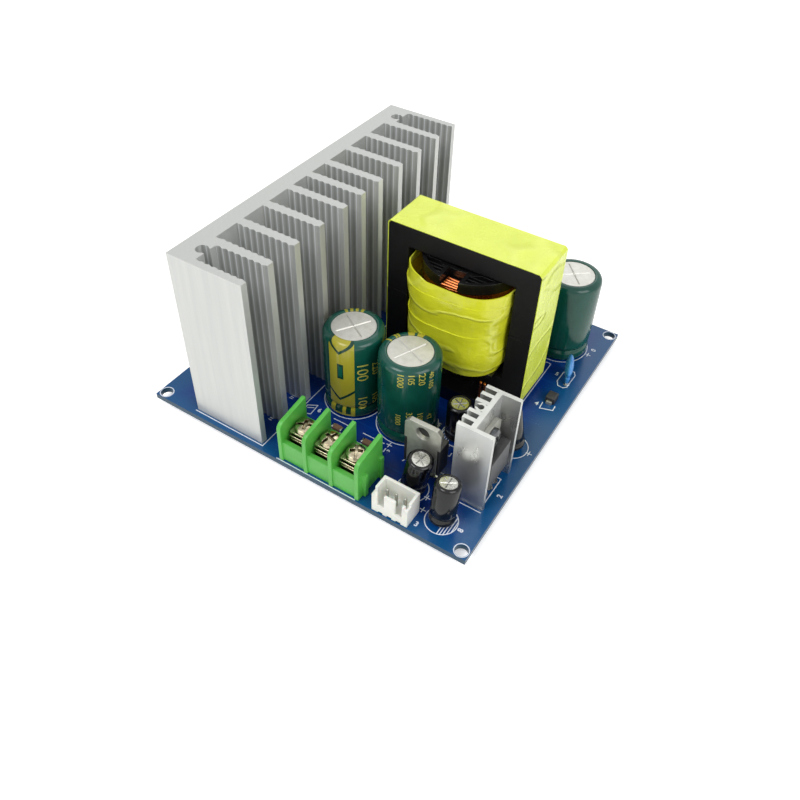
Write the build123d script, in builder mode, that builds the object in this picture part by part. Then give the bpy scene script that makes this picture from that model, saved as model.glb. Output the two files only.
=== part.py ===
from build123d import *
import math
import os

# Boost converter board. Millimetres, +Z up. The origin is the middle of the four mounting holes,
# on the board's underside. Layout places run from the board's front left corner, as u to the
# right and v to the back, and heights of components start at the board's top face.

# Circuit board
board_thickness = 1.6
mount_hole_diameter = 3.2
mount_hole_inset = 2.05
front_margin = 1.9
back_margin = 0.4
rear_strip = 13.6
transformer_aisle = 6.8
right_margin = 10.8
screw_hole_clearance = 0.15
solder_height = 1.6
solder_flare = 0.7

# Sides of the polygons that stand for small round forms
round_sides = 24

# Main heatsink extrusion
heatsink_height = 50.4
base_thickness = 4.9
fin_length = 17.0
fin_root = 2.4
fin_tip = 2.0
end_fin_thickness = 1.8
centre_fin_pitch = 7.8
fin_pitch = 9.55
end_fin_pitch = 9.0
pitched_fins = 3
rib_count = 8
rib_pitch = 1.9
rib_start = 1.4
rib_height = 0.35
channel_web = 2.3
channel_radius = 1.55
channel_depth = 5.6
channel_inset = 5.7
channel_neck = 2.1
heatsink_screw_play = 0.1
heatsink_screw_length = 12.0
heatsink_screw_head = 5.6

# Flat packages: a metal tab, a moulded body and three leads
package_width = 10.0
package_thickness = 4.5
body_height = 8.9
tab_height = 15.2
tab_thickness = 1.3
tab_low_width = 8.4
tab_chamfer = 1.2
tab_hole_diameter = 3.7
tab_hole_drop = 2.8
lead_pitch = 2.54
lead_plane = 2.6
lead_thickness = 0.5
lead_width = 0.9

# Power devices on the back of the main heatsink
power_devices = 6
power_device_pitch = 14.5
power_body_base = 4.0
pad_thickness = 0.3
pad_margin = 1.2
power_screw_head = 5.5
power_screw_head_height = 2.0

# Transformer
core_width = 42.5
core_depth = 14.6
core_half_height = 21.0
core_plate = 6.0
core_corner = 0.7
core_base = 2.8
window_width = 30.2
post_radius = 7.2
core_tape_thickness = 0.2
bobbin_play = 0.3
bobbin_wall = 1.0
flange_radius = 13.2
top_flange = 3.0
bottom_flange = 1.2
flange_notch = 5.0
flange_rim = 1.0
flange_recess = 1.5
rail_length = 39.0
rail_depth = 6.8
rail_height = 4.6
riser_width = 16.0
riser_depth = 2.0
transformer_pins = 6
transformer_pin_pitch = 6.0
transformer_pin_size = 0.9
winding_radius = 12.7
wire_diameter = 0.95
visible_turns = 4
wrap_thickness = 0.4
wrap_half_width = 14.9
wrap_reach = 15.5
wrap_corner = 9.8
wrap_top_drop = 1.7
lead_out_diameter = 0.75
lead_out_side = 12.4
lead_out_inset = 5.3

# Large capacitors
large_diameter = 16.0
large_height = 25.6
large_shoulder = 0.9
large_sleeve = 0.25
large_opening = 11.7
large_vent_width = 0.5
large_vent_depth = 0.25
crimp_height = 3.6
crimp_depth = 0.7
crimp_width = 1.6
large_lead_diameter = 0.8
large_lead_pitch = 7.5
heatsink_gap = 2.1
large_gap = 0.8
terminal_gap = 10.0
winding_gap = 4.0
back_capacitor_gap = 2.3
back_capacitor_inset = 13.2

# Small capacitors
small_diameter = 6.5
small_height = 11.6
small_stand = 0.4
small_shoulder = 0.6
small_sleeve = 0.2
small_opening = 4.6
small_lead_diameter = 0.5
small_lead_pitch = 2.5
header_capacitor_gap = 1.7
corner_capacitor_gap = 2.45
corner_capacitor_inset = 3.15
middle_capacitor_gap = 1.9
middle_capacitor_shift = 3.3
edge_capacitor_inset = 3.45
edge_capacitor_gap = 4.5
small_lean = 9.0
edge_lean = 12.0

# Three-way terminal block
terminal_pitch = 7.62
terminal_ways = 3
terminal_inset = 0.4
terminal_depth = 10.6
terminal_plate = 1.2
plate_front_height = 12.6
plate_back_height = 14.0
plate_front_radius = 2.2
terminal_wall_height = 6.3
terminal_wall_inset = 0.5
terminal_wall = 1.5
terminal_back_height = 7.0
terminal_back_wall = 1.0
terminal_floor = 3.6
dovetail_depth = 0.8
dovetail_width = 1.4
dovetail_height = 7.3
dovetail_front = 2.7
contact_width = 4.6
contact_length = 6.6
contact_height = 3.2
contact_sheet = 0.8
clamp_width = 5.8
clamp_length = 6.2
clamp_height = 1.9
clamp_sheet = 0.7
screw_setback = 5.8
terminal_screw_head = 5.2
terminal_screw_head_height = 1.5
terminal_pin_size = 1.0
slot_width = 0.8
slot_depth = 0.8

# White pin header
header_length = 9.9
header_depth = 5.75
header_height = 7.0
header_wall = 0.75
header_floor = 1.6
header_inset = 0.3
header_gap = 3.9
header_pin_pitch = 2.5
header_pin_size = 0.64
header_pin_height = 6.0
header_slot_width = 1.9
header_slot_spacing = 4.9
header_slot_depth = 4.6
header_step = 1.6
header_step_drop = 1.0
header_foot = 0.5
header_foot_gap = 1.3

# Front transistor and the regulator on its own heatsink
sink_gap = 3.69
transistor_gap = 0.8
transistor_shift = 0.4
transistor_body_base = 3.4
regulator_body_base = 5.0
sink_height = 25.4
sink_width = 14.9
sink_depth = 9.2
sink_flange = 1.1
sink_web = 1.3
sink_fin_length = 3.1
sink_fin_pitch = 2.5
sink_fins = 2
sink_groove_radius = 0.75
sink_groove_inset = 0.9
sink_groove_neck = 0.9
sink_pin_length = 8.0
sink_right_margin = 3.3
sink_front = 14.3
regulator_screw_head = 5.2
regulator_screw_head_height = 1.6

# Small parts
disc_diameter = 7.0
disc_thickness = 2.6
disc_stand = 1.0
disc_turn = 20.0
disc_inset = 5.2
disc_shift = 2.4
disc_lead_diameter = 0.6
disc_lead_pitch = 5.0
diode_length = 4.3
diode_width = 2.7
diode_height = 2.1
diode_end = 0.6
diode_inset = 5.2
diode_shift = 12.8
chip_length = 3.2
chip_width = 1.6
chip_height = 1.0
chip_end = 0.5
chip_gap = 5.7
first_chip_shift = 6.2
second_chip_shift = 15.6
third_chip_shift = 0.9
third_chip_gap = 2.35

# Layout, worked out from the sizes above
heatsink_left = rear_strip
heatsink_right = heatsink_left + base_thickness + fin_length
heatsink_half = centre_fin_pitch + pitched_fins * fin_pitch + end_fin_pitch + end_fin_thickness / 2
heatsink_centre_v = front_margin + heatsink_half
board_width = (
    heatsink_right + transformer_aisle + core_width + 2 * core_tape_thickness + right_margin
)
board_depth = front_margin + 2 * heatsink_half + back_margin
large_radius = large_diameter / 2
small_radius = small_diameter / 2
sink_right = board_width - sink_right_margin
sink_left = sink_right - sink_depth
sink_centre = sink_front + sink_width / 2
web_face = sink_left + sink_fin_length + sink_web
transistor_u = sink_left - sink_gap - package_width / 2
header_centre = transistor_u + transistor_shift
header_right = header_centre + header_length / 2
header_back = header_inset + header_depth
terminal_right = header_centre - header_length / 2 - header_gap
terminal_left = terminal_right - terminal_ways * terminal_pitch - terminal_plate
terminal_back = terminal_inset + terminal_depth
large_row = terminal_back + terminal_gap + large_radius
large_1 = (heatsink_right + heatsink_gap + large_radius, large_row)
large_2 = (large_1[0] + large_diameter + large_gap, large_row)
transformer_u = heatsink_right + transformer_aisle + core_tape_thickness + core_width / 2
transformer_v = large_row + large_radius + winding_gap + wrap_reach
rail_back = transformer_v + core_depth / 2 + bobbin_play + rail_depth
large_3 = (board_width - back_capacitor_inset, rail_back + back_capacitor_gap + large_radius)
header_capacitor = (header_centre, header_back + header_capacitor_gap + small_radius)
corner_capacitor = (
    header_right + corner_capacitor_gap + small_radius,
    header_inset + corner_capacitor_inset + small_radius,
)
middle_capacitor = (
    large_2[0] + large_radius + middle_capacitor_gap + small_radius,
    large_row + middle_capacitor_shift,
)
edge_capacitor = (
    board_width - edge_capacitor_inset - small_radius,
    sink_front + sink_width + edge_capacitor_gap + small_radius,
)
transistor_v = header_capacitor[1] + small_radius + transistor_gap
disc_place = (board_width - disc_inset, rail_back - disc_shift)
diode_place = (board_width - diode_inset, rail_back - diode_shift)
chip_row = terminal_back + chip_gap
chip_places = [
    (terminal_left + first_chip_shift, chip_row),
    (terminal_left + second_chip_shift, chip_row),
    (middle_capacitor[0] - third_chip_shift, middle_capacitor[1] - small_radius - third_chip_gap),
]
board_top = board_thickness


def at(u, v):
    return (u - board_width / 2, v - board_depth / 2)


def level(height):
    return Plane.XY.offset(board_top + height)


def standing(u, v, facing):
    """A plane whose own y axis is the world's Z, and whose normal is the facing direction."""
    x, y = at(u, v)
    across = Vector(0, 0, 1).cross(Vector(*facing))
    return Plane(origin=(x, y, board_top), x_dir=across, z_dir=facing)


def save(built, node):
    built.part.label = node
    export_step(built.part, f"parts/{node}.step")


def spread(count, pitch):
    return [(k - (count - 1) / 2) * pitch for k in range(count)]


os.makedirs("parts", exist_ok=True)

# Where leads and screws pass through the board, as centre and radius
package_leads = spread(3, lead_pitch)
lead_radius = math.hypot(lead_width, lead_thickness) / 2
lead_spots = []


def package_spots(plane):
    for across in package_leads:
        point = plane.from_local_coords((across, 0, lead_plane))
        lead_spots.append((point.X, point.Y, lead_radius))


device_u = heatsink_left - pad_thickness
device_planes = [
    standing(device_u, heatsink_centre_v + k, (-1, 0, 0))
    for k in spread(power_devices, power_device_pitch)
]
transistor_plane = standing(transistor_u, transistor_v, (0, 1, 0))
regulator_plane = standing(web_face, sink_centre, (1, 0, 0))
for package_plane in device_planes + [transistor_plane, regulator_plane]:
    package_spots(package_plane)

large_places = [large_1, large_2, large_3]
for place in large_places:
    x, y = at(*place)
    for offset_x in spread(2, large_lead_pitch):
        lead_spots.append((x + offset_x, y, large_lead_diameter / 2))

small_places = [header_capacitor, corner_capacitor, middle_capacitor, edge_capacitor]
small_leans = [(small_lean, 0.0), (small_lean, 90.0), (0.0, 0.0), (edge_lean, 180.0)]
for place in small_places:
    x, y = at(*place)
    for offset_x in spread(2, small_lead_pitch):
        lead_spots.append((x + offset_x, y, small_lead_diameter / 2))

terminal_spots = [
    at(
        terminal_left + terminal_plate / 2 + (way + 0.5) * terminal_pitch,
        terminal_inset + screw_setback,
    )
    for way in range(terminal_ways)
]
for x, y in terminal_spots:
    lead_spots.append((x, y, terminal_pin_size / math.sqrt(2)))

header_spots = [
    at(header_centre + offset_x, header_inset + header_depth * 0.55)
    for offset_x in spread(3, header_pin_pitch)
]
for x, y in header_spots:
    lead_spots.append((x, y, header_pin_size / math.sqrt(2)))

rail_offset = core_depth / 2 + bobbin_play + rail_depth / 2
transformer_x, transformer_y = at(transformer_u, transformer_v)
transformer_pin_spots = [
    (transformer_x + offset_x, transformer_y + side * rail_offset)
    for side in (-1, 1)
    for offset_x in spread(transformer_pins, transformer_pin_pitch)
]
for x, y in transformer_pin_spots:
    lead_spots.append((x, y, transformer_pin_size / 2))

lead_spots.append(
    (*at(sink_left + sink_fin_length - sink_groove_inset, sink_centre), sink_groove_radius)
)
disc_x, disc_y = at(*disc_place)
disc_direction = (-math.sin(math.radians(disc_turn)), math.cos(math.radians(disc_turn)))
disc_lead_spots = [
    (disc_x + offset * disc_direction[0], disc_y + offset * disc_direction[1])
    for offset in spread(2, disc_lead_pitch)
]
for x, y in disc_lead_spots:
    lead_spots.append((x, y, disc_lead_diameter / 2))

channel_spots = [
    at(heatsink_left + channel_depth, heatsink_centre_v + side * (heatsink_half - channel_inset))
    for side in (-1, 1)
]
heatsink_screw_radius = channel_radius - heatsink_screw_play
screw_sides = 8

# Circuit board
with BuildPart() as circuit_board:
    with BuildSketch():
        Rectangle(board_width, board_depth)
        with GridLocations(
            board_width - 2 * mount_hole_inset, board_depth - 2 * mount_hole_inset, 2, 2
        ):
            Circle(mount_hole_diameter / 2, mode=Mode.SUBTRACT)
        with Locations(*channel_spots):
            RegularPolygon(
                heatsink_screw_radius + screw_hole_clearance, screw_sides, mode=Mode.SUBTRACT
            )
    extrude(amount=board_thickness)
save(circuit_board, "circuit_board")

# Solder joints: a tapered joint under the board at each lead
with BuildPart() as solder_joints:
    for x, y, radius in lead_spots:
        foot = 2 * (radius + solder_flare)
        with Locations(Location((x, y, -solder_height / 2), (-90, 0, 0))):
            Wedge(
                foot,
                solder_height,
                foot,
                solder_flare,
                solder_flare,
                foot - solder_flare,
                foot - solder_flare,
            )
save(solder_joints, "solder_joints")


# Main heatsink: one closed profile, drawn fin by fin, with small ribs on every inner fin face
def fin_face(root_v, tip_v, side, root_u):
    """Points along one ribbed fin face, root to tip; side is +1 or -1, the way the face looks."""
    points = [(root_u, root_v)]
    for k in range(2 * rib_count + 1):
        rib_u = base_thickness + rib_start + k * rib_pitch / 2
        if rib_u <= root_u:
            continue
        share = (rib_u - base_thickness) / fin_length
        peak = rib_height if k % 2 else 0.0
        points.append((rib_u, root_v + (tip_v - root_v) * share + side * peak))
    points.append((base_thickness + fin_length, tip_v))
    return points


inner_fins = [centre_fin_pitch + k * fin_pitch for k in range(pitched_fins + 1)]
fin_centres = [-v for v in reversed(inner_fins)] + [0.0] + inner_fins
end_face = heatsink_half - end_fin_thickness
lower_faces = [-end_face] + [v + fin_root / 2 for v in fin_centres]
lower_tips = [-end_face] + [v + fin_tip / 2 for v in fin_centres]
upper_faces = [v - fin_root / 2 for v in fin_centres] + [end_face]
upper_tips = [v - fin_tip / 2 for v in fin_centres] + [end_face]
heatsink_depth = base_thickness + fin_length
profile = [(0, -heatsink_half), (heatsink_depth, -heatsink_half)]
for pocket in range(len(lower_faces)):
    at_end = pocket in (0, len(lower_faces) - 1)
    root_u = base_thickness + (channel_web if at_end else 0.0)
    near = fin_face(lower_faces[pocket], lower_tips[pocket], 1, root_u)
    far = fin_face(upper_faces[pocket], upper_tips[pocket], -1, root_u)
    profile += list(reversed(near)) + far
profile += [(heatsink_depth, heatsink_half), (0, heatsink_half)]

heatsink_x, heatsink_y = at(heatsink_left, heatsink_centre_v)
with BuildPart() as main_heatsink:
    with BuildSketch(Plane(origin=(heatsink_x, heatsink_y, board_top))):
        with BuildLine():
            Polyline(*profile, close=True)
        make_face()
        for side in (-1, 1):
            with Locations((channel_depth, side * (heatsink_half - channel_inset))):
                Circle(channel_radius, mode=Mode.SUBTRACT)
            neck_end = base_thickness + channel_web
            with Locations(
                ((channel_depth + neck_end) / 2, side * (heatsink_half - channel_inset))
            ):
                Rectangle(neck_end - channel_depth, channel_neck, mode=Mode.SUBTRACT)
    extrude(amount=heatsink_height)
save(main_heatsink, "main_heatsink")

# Hex-head screws from under the board into the heatsink's two screw channels
with BuildPart() as heatsink_screws:
    with BuildSketch(Plane.XY.offset(-solder_height)):
        with Locations(*channel_spots):
            RegularPolygon(heatsink_screw_head / 2, 6)
    extrude(amount=solder_height)
    with BuildSketch():
        with Locations(*channel_spots):
            RegularPolygon(heatsink_screw_radius, screw_sides)
    extrude(amount=heatsink_screw_length)
save(heatsink_screws, "heatsink_screws")


# Flat packages, drawn on planes that stand on the board and face away from the mounting surface
def build_tabs(planes, body_base, open_hole):
    half = package_width / 2
    low = tab_low_width / 2
    top = body_base + tab_height
    step = body_base + body_height
    outline = [
        (-low, body_base),
        (low, body_base),
        (low, step),
        (half, step),
        (half, top - tab_chamfer),
        (half - tab_chamfer, top),
        (tab_chamfer - half, top),
        (-half, top - tab_chamfer),
        (-half, step),
        (-low, step),
    ]
    with BuildPart() as tabs:
        with BuildSketch(*planes):
            with BuildLine():
                Polyline(*outline, close=True)
            make_face()
            if open_hole:
                with Locations((0, top - tab_hole_drop)):
                    Circle(tab_hole_diameter / 2, mode=Mode.SUBTRACT)
        extrude(amount=tab_thickness)
    return tabs


def build_bodies(planes, body_base):
    with BuildPart() as bodies:
        with BuildSketch(*planes):
            with Locations((0, body_base + body_height / 2)):
                Rectangle(package_width, body_height)
        extrude(amount=package_thickness)
        with BuildSketch(*planes):
            with Locations((0, body_base + body_height / 2)):
                Rectangle(tab_low_width, body_height)
        extrude(amount=tab_thickness, mode=Mode.SUBTRACT)
    return bodies


def build_leads(planes, body_base):
    with BuildPart() as leads:
        with BuildSketch(*[plane.offset(lead_plane - lead_thickness / 2) for plane in planes]):
            with Locations(*[(k, body_base / 2) for k in package_leads]):
                Rectangle(lead_width, body_base)
        extrude(amount=lead_thickness)
    return leads


save(build_tabs(device_planes, power_body_base, False), "power_device_tabs")
save(build_bodies(device_planes, power_body_base), "power_device_bodies")
save(build_leads(device_planes, power_body_base), "power_device_leads")
save(build_tabs([transistor_plane], transistor_body_base, True), "front_transistor_tab")
save(build_bodies([transistor_plane], transistor_body_base), "front_transistor_body")
save(build_leads([transistor_plane], transistor_body_base), "front_transistor_leads")
save(build_tabs([regulator_plane], regulator_body_base, False), "regulator_tab")
save(build_bodies([regulator_plane], regulator_body_base), "regulator_body")
save(build_leads([regulator_plane], regulator_body_base), "regulator_leads")

# Insulating pads between the power devices and the heatsink
with BuildPart() as insulating_pads:
    with BuildSketch(*[plane.offset(-pad_thickness) for plane in device_planes]):
        with Locations((0, power_body_base + tab_height / 2)):
            Rectangle(package_width + 2 * pad_margin, tab_height + 2 * pad_margin)
    extrude(amount=pad_thickness)
save(insulating_pads, "insulating_pads")

# Hex screw heads that hold the power devices' tabs
with BuildPart() as power_device_screws:
    with BuildSketch(*[plane.offset(tab_thickness) for plane in device_planes]):
        with Locations((0, power_body_base + tab_height - tab_hole_drop)):
            RegularPolygon(power_screw_head / 2, 6)
    extrude(amount=power_screw_head_height)
save(power_device_screws, "power_device_screws")


# Transformer core: two equal halves with straight outer legs and a round middle post
def build_core_half(plane_height, direction):
    leg_height = core_half_height - core_plate
    with BuildPart() as half:
        with BuildSketch(level(plane_height)):
            with Locations((transformer_x, transformer_y)):
                Rectangle(core_width, core_depth)
        extrude(amount=direction * core_half_height)
        chamfer(
            half.edges().filter_by(Axis.Y).group_by(Axis.Z)[-1 if direction > 0 else 0],
            core_corner,
        )
        with BuildSketch(level(plane_height)):
            with Locations((transformer_x, transformer_y)):
                Rectangle(window_width, core_depth)
        extrude(amount=direction * leg_height, mode=Mode.SUBTRACT)
        with BuildSketch(level(plane_height)):
            with Locations((transformer_x, transformer_y)):
                Circle(post_radius)
        extrude(amount=direction * leg_height)
    return half


core_middle = core_base + core_half_height
core_top = core_base + 2 * core_half_height
window_bottom = core_base + core_plate
window_top = core_top - core_plate
save(build_core_half(core_middle, -1), "transformer_core_lower")
save(build_core_half(core_middle, 1), "transformer_core_upper")

# Tape band around the outside of the core
core_front = Plane(
    origin=(transformer_x, transformer_y - core_depth / 2, board_top + core_middle),
    x_dir=(1, 0, 0),
    z_dir=(0, -1, 0),
)
with BuildPart() as core_tape:
    for grow, mode in ((core_tape_thickness, Mode.ADD), (0.0, Mode.SUBTRACT)):
        with BuildSketch(core_front) as band:
            Rectangle(core_width + 2 * grow, 2 * core_half_height + 2 * grow)
            chamfer(band.vertices(), core_corner)
        extrude(amount=-core_depth, mode=mode)
save(core_tape, "transformer_core_tape")

# Bobbin: tube on the middle post, a round top flange, a square bottom one, and two pin rails
bobbin_bottom = window_bottom + bobbin_play
bobbin_top = window_top - bobbin_play
bobbin_inner = post_radius + bobbin_play
bobbin_outer = bobbin_inner + bobbin_wall
rail_y = core_depth / 2 + bobbin_play
with BuildPart() as bobbin:
    with BuildSketch(level(bobbin_bottom)):
        with Locations((transformer_x, transformer_y)):
            RegularPolygon(bobbin_outer, round_sides, major_radius=False)
    extrude(amount=bobbin_top - bobbin_bottom)
    with BuildSketch(level(bobbin_bottom)):
        with Locations((transformer_x, transformer_y)):
            Rectangle(2 * flange_radius, 2 * (rail_y + riser_depth))
    extrude(amount=bottom_flange)
    with BuildSketch(level(bobbin_top - top_flange)):
        with Locations((transformer_x, transformer_y)):
            Circle(flange_radius)
            Rectangle(flange_notch, 2 * flange_radius, mode=Mode.SUBTRACT)
            RegularPolygon(bobbin_outer, round_sides, major_radius=False)
    extrude(amount=top_flange)
    with BuildSketch(level(bobbin_top)):
        with Locations((transformer_x, transformer_y)):
            Circle(flange_radius - flange_rim)
            RegularPolygon(bobbin_outer + flange_rim, round_sides, mode=Mode.SUBTRACT)
            Rectangle(flange_notch + 2 * flange_rim, 2 * flange_radius, mode=Mode.SUBTRACT)
            Rectangle(2 * flange_radius, core_depth, mode=Mode.SUBTRACT)
    extrude(amount=-flange_recess, mode=Mode.SUBTRACT)
    for side in (-1, 1):
        with BuildSketch(level(0)):
            with Locations((transformer_x, transformer_y + side * rail_offset)):
                Rectangle(rail_length, rail_depth)
        extrude(amount=rail_height)
        with BuildSketch(level(0)):
            with Locations((transformer_x, transformer_y + side * (rail_y + riser_depth / 2))):
                Rectangle(riser_width, riser_depth)
        extrude(amount=bobbin_bottom + bottom_flange)
    with BuildSketch(level(bobbin_bottom)):
        with Locations((transformer_x, transformer_y)):
            RegularPolygon(bobbin_inner, round_sides, major_radius=False)
    extrude(amount=bobbin_top - bobbin_bottom, mode=Mode.SUBTRACT)
save(bobbin, "transformer_bobbin")

# Winding between the flanges, with the last turns that show in the top flange's notch
winding_bottom = bobbin_bottom + bottom_flange
winding_top = bobbin_top - top_flange
with BuildPart() as winding:
    with BuildSketch(level(winding_bottom)):
        with Locations((transformer_x, transformer_y)):
            RegularPolygon(winding_radius, round_sides)
            RegularPolygon(bobbin_outer, round_sides, major_radius=False, mode=Mode.SUBTRACT)
    extrude(amount=winding_top - winding_bottom)
save(winding, "transformer_winding")

with BuildPart() as winding_turns:
    with BuildSketch(Plane.YZ.offset(transformer_x)):
        for turn in range(visible_turns):
            turn_y = transformer_y - winding_radius + wire_diameter * (turn + 0.5)
            turn_z = board_top + winding_top + wire_diameter / 2 * math.cos(math.pi / 6)
            with Locations((turn_y, turn_z)):
                RegularPolygon(wire_diameter / 2, 6)
    extrude(amount=flange_notch / 2 - bobbin_play, both=True)
save(winding_turns, "winding_top_turns")

# Tape wrapped round the winding: a rounded square tube
wrap_top = bobbin_top - wrap_top_drop
with BuildPart() as winding_wrap:
    for shell, mode in ((0.0, Mode.ADD), (wrap_thickness, Mode.SUBTRACT)):
        with BuildSketch(level(wrap_top)):
            with Locations((transformer_x, transformer_y)):
                RectangleRounded(
                    2 * (wrap_half_width - shell), 2 * (wrap_reach - shell), wrap_corner - shell
                )
        extrude(amount=winding_bottom - wrap_top, mode=mode)
save(winding_wrap, "winding_tape")

# Wire ends from the winding down to the front pin rail
with BuildPart() as lead_out_wires:
    lead_out_y = transformer_y - rail_y - lead_out_inset
    with BuildSketch(level(rail_height)):
        for offset_x in spread(2, wire_diameter * 1.2):
            with Locations((transformer_x + lead_out_side + offset_x, lead_out_y)):
                RegularPolygon(lead_out_diameter / 2, 6)
    extrude(amount=winding_bottom - rail_height)
save(lead_out_wires, "lead_out_wires")

# Large capacitors: a can with a scored top in a sleeve with a crimp near its foot
large_spots = [at(*place) for place in large_places]
can_radius = large_opening / 2
sleeve_profile = [
    (can_radius, 0),
    (large_radius, 0),
    (large_radius, crimp_height - crimp_width / 2),
    (large_radius - crimp_depth, crimp_height),
    (large_radius, crimp_height + crimp_width / 2),
    (large_radius, large_height - large_shoulder),
    (large_radius - large_shoulder, large_height),
    (can_radius, large_height),
]
with BuildPart() as large_cans:
    with BuildSketch(level(0)):
        with Locations(*large_spots):
            RegularPolygon(can_radius, round_sides)
    extrude(amount=large_height - large_sleeve)
    with BuildSketch(level(large_height - large_sleeve)):
        with Locations(*large_spots):
            Rectangle(large_opening * 0.8, large_vent_width, rotation=30)
            Rectangle(large_vent_width, large_opening * 0.8, rotation=30)
    extrude(amount=-large_vent_depth, mode=Mode.SUBTRACT)
save(large_cans, "large_capacitor_cans")

with BuildPart() as large_sleeves:
    for x, y in large_spots:
        with BuildSketch(Plane(origin=(x, y, board_top), x_dir=(1, 0, 0), z_dir=(0, -1, 0))):
            with BuildLine():
                Polyline(*sleeve_profile, close=True)
            make_face()
        revolve(axis=Axis((x, y, 0), (0, 0, 1)))
save(large_sleeves, "large_capacitor_sleeves")

# Small capacitors: three of them lean on their leads
small_feet = []
for place, (tilt, heading) in zip(small_places, small_leans):
    sideways = math.sin(math.radians(tilt))
    up = Vector(
        sideways * math.cos(math.radians(heading)),
        sideways * math.sin(math.radians(heading)),
        math.cos(math.radians(tilt)),
    )
    x, y = at(*place)
    foot_origin = (x, y, board_top + small_stand + small_radius * sideways)
    small_feet.append(Plane(origin=foot_origin, x_dir=Vector(0, 1, 0).cross(up), z_dir=up))
small_can_radius = small_opening / 2
for number, foot in enumerate(small_feet, start=1):
    with BuildPart() as can:
        with BuildSketch(foot):
            RegularPolygon(small_can_radius, round_sides)
        extrude(amount=small_height - small_sleeve)
    save(can, f"small_capacitor_{number}_can")
    with BuildPart() as sleeve:
        with BuildSketch(foot):
            RegularPolygon(small_radius, round_sides)
        extrude(amount=small_height)
        chamfer(sleeve.faces().sort_by(Axis(foot.origin, foot.z_dir))[-1].edges(), small_shoulder)
        with BuildSketch(foot):
            RegularPolygon(small_can_radius, round_sides)
        extrude(amount=small_height, mode=Mode.SUBTRACT)
    save(sleeve, f"small_capacitor_{number}_sleeve")

with BuildPart() as small_leads:
    for foot in small_feet:
        with BuildSketch(foot):
            with GridLocations(small_lead_pitch, 0, 2, 1):
                Rectangle(small_lead_diameter, small_lead_diameter)
        extrude(amount=small_height, dir=(0, 0, -1))
    split(bisect_by=level(0), keep=Keep.TOP)
save(small_leads, "small_capacitor_leads")

# Terminal block: dividing plates over a floor with a low front wall
terminal_x, terminal_y = at(terminal_left, terminal_inset)
contact_bottom = terminal_floor
contact_top = terminal_floor + contact_height
clamp_top = contact_top + clamp_height
screw_y = terminal_y + screw_setback
with BuildPart() as terminal_housing:
    with BuildSketch(
        Plane(
            origin=(terminal_x, terminal_y + terminal_wall_inset, board_top),
            x_dir=(0, 1, 0),
            z_dir=(1, 0, 0),
        )
    ):
        with BuildLine():
            back = terminal_depth - terminal_wall_inset
            Polyline(
                (0, 0),
                (back, 0),
                (back, terminal_back_height),
                (back - terminal_back_wall, terminal_back_height),
                (back - terminal_back_wall, terminal_floor),
                (terminal_wall, terminal_floor),
                (terminal_wall, terminal_wall_height),
                (0, terminal_wall_height),
                close=True,
            )
        make_face()
    extrude(amount=terminal_ways * terminal_pitch)
    with BuildSketch(
        *[
            Plane(
                origin=(terminal_x + plate * terminal_pitch, terminal_y, board_top),
                x_dir=(0, 1, 0),
                z_dir=(1, 0, 0),
            )
            for plate in range(terminal_ways + 1)
        ]
    ):
        with BuildLine():
            Polyline(
                (0, 0),
                (terminal_depth, 0),
                (terminal_depth, plate_back_height),
                (0, plate_front_height),
                close=True,
            )
        make_face()
    extrude(amount=terminal_plate)
    plate_bend_z = board_top + plate_front_height
    fillet(
        terminal_housing.edges()
        .filter_by(Axis.X)
        .filter_by_position(Axis.Z, plate_bend_z - 0.1, plate_bend_z + 0.1),
        plate_front_radius,
    )
    dovetail_x = terminal_x + terminal_ways * terminal_pitch + terminal_plate + dovetail_depth / 2
    with BuildSketch(level(0)):
        for dovetail_v in (dovetail_front, terminal_depth - dovetail_width * 0.8):
            with Locations((dovetail_x, terminal_y + dovetail_v)):
                Rectangle(dovetail_depth, dovetail_width)
    extrude(amount=dovetail_height)
save(terminal_housing, "terminal_housing")

# Contacts: a folded strip in each bay
with BuildPart() as terminal_contacts:
    with BuildSketch(level(contact_bottom)):
        for x, y in terminal_spots:
            with Locations((x, screw_y)):
                Rectangle(contact_width, contact_length)
    extrude(amount=contact_height)
    with BuildSketch(level(contact_bottom + contact_sheet)):
        for x, y in terminal_spots:
            with Locations((x, screw_y + contact_sheet)):
                Rectangle(contact_width, contact_length)
    extrude(amount=contact_height - 2 * contact_sheet, mode=Mode.SUBTRACT)
save(terminal_contacts, "terminal_contacts")

# Wire clamps: a plate and a square washer joined by a neck, held under each screw head
with BuildPart() as terminal_clamps:
    with BuildSketch(level(contact_top)):
        for x, y in terminal_spots:
            with Locations((x, screw_y)):
                Rectangle(clamp_width, clamp_length)
    extrude(amount=clamp_sheet)
    with BuildSketch(level(contact_top + clamp_sheet)):
        for x, y in terminal_spots:
            with Locations((x, screw_y)):
                Rectangle(clamp_width * 0.6, clamp_length * 0.6)
    extrude(amount=clamp_height - 2 * clamp_sheet)
    with BuildSketch(level(clamp_top - clamp_sheet)):
        for x, y in terminal_spots:
            with Locations((x, screw_y)):
                Rectangle(clamp_width, clamp_length * 0.9)
    extrude(amount=clamp_sheet)
save(terminal_clamps, "terminal_clamps")

with BuildPart() as terminal_screws:
    with BuildSketch(level(clamp_top)):
        for x, y in terminal_spots:
            with Locations((x, screw_y)):
                RegularPolygon(terminal_screw_head / 2, round_sides)
    extrude(amount=terminal_screw_head_height)
    with BuildSketch(level(clamp_top + terminal_screw_head_height)):
        for x, y in terminal_spots:
            with Locations((x, screw_y)):
                Rectangle(terminal_screw_head, slot_width)
                Rectangle(slot_width, terminal_screw_head * 0.5)
    extrude(amount=-slot_depth, mode=Mode.SUBTRACT)
save(terminal_screws, "terminal_screws")

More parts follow.
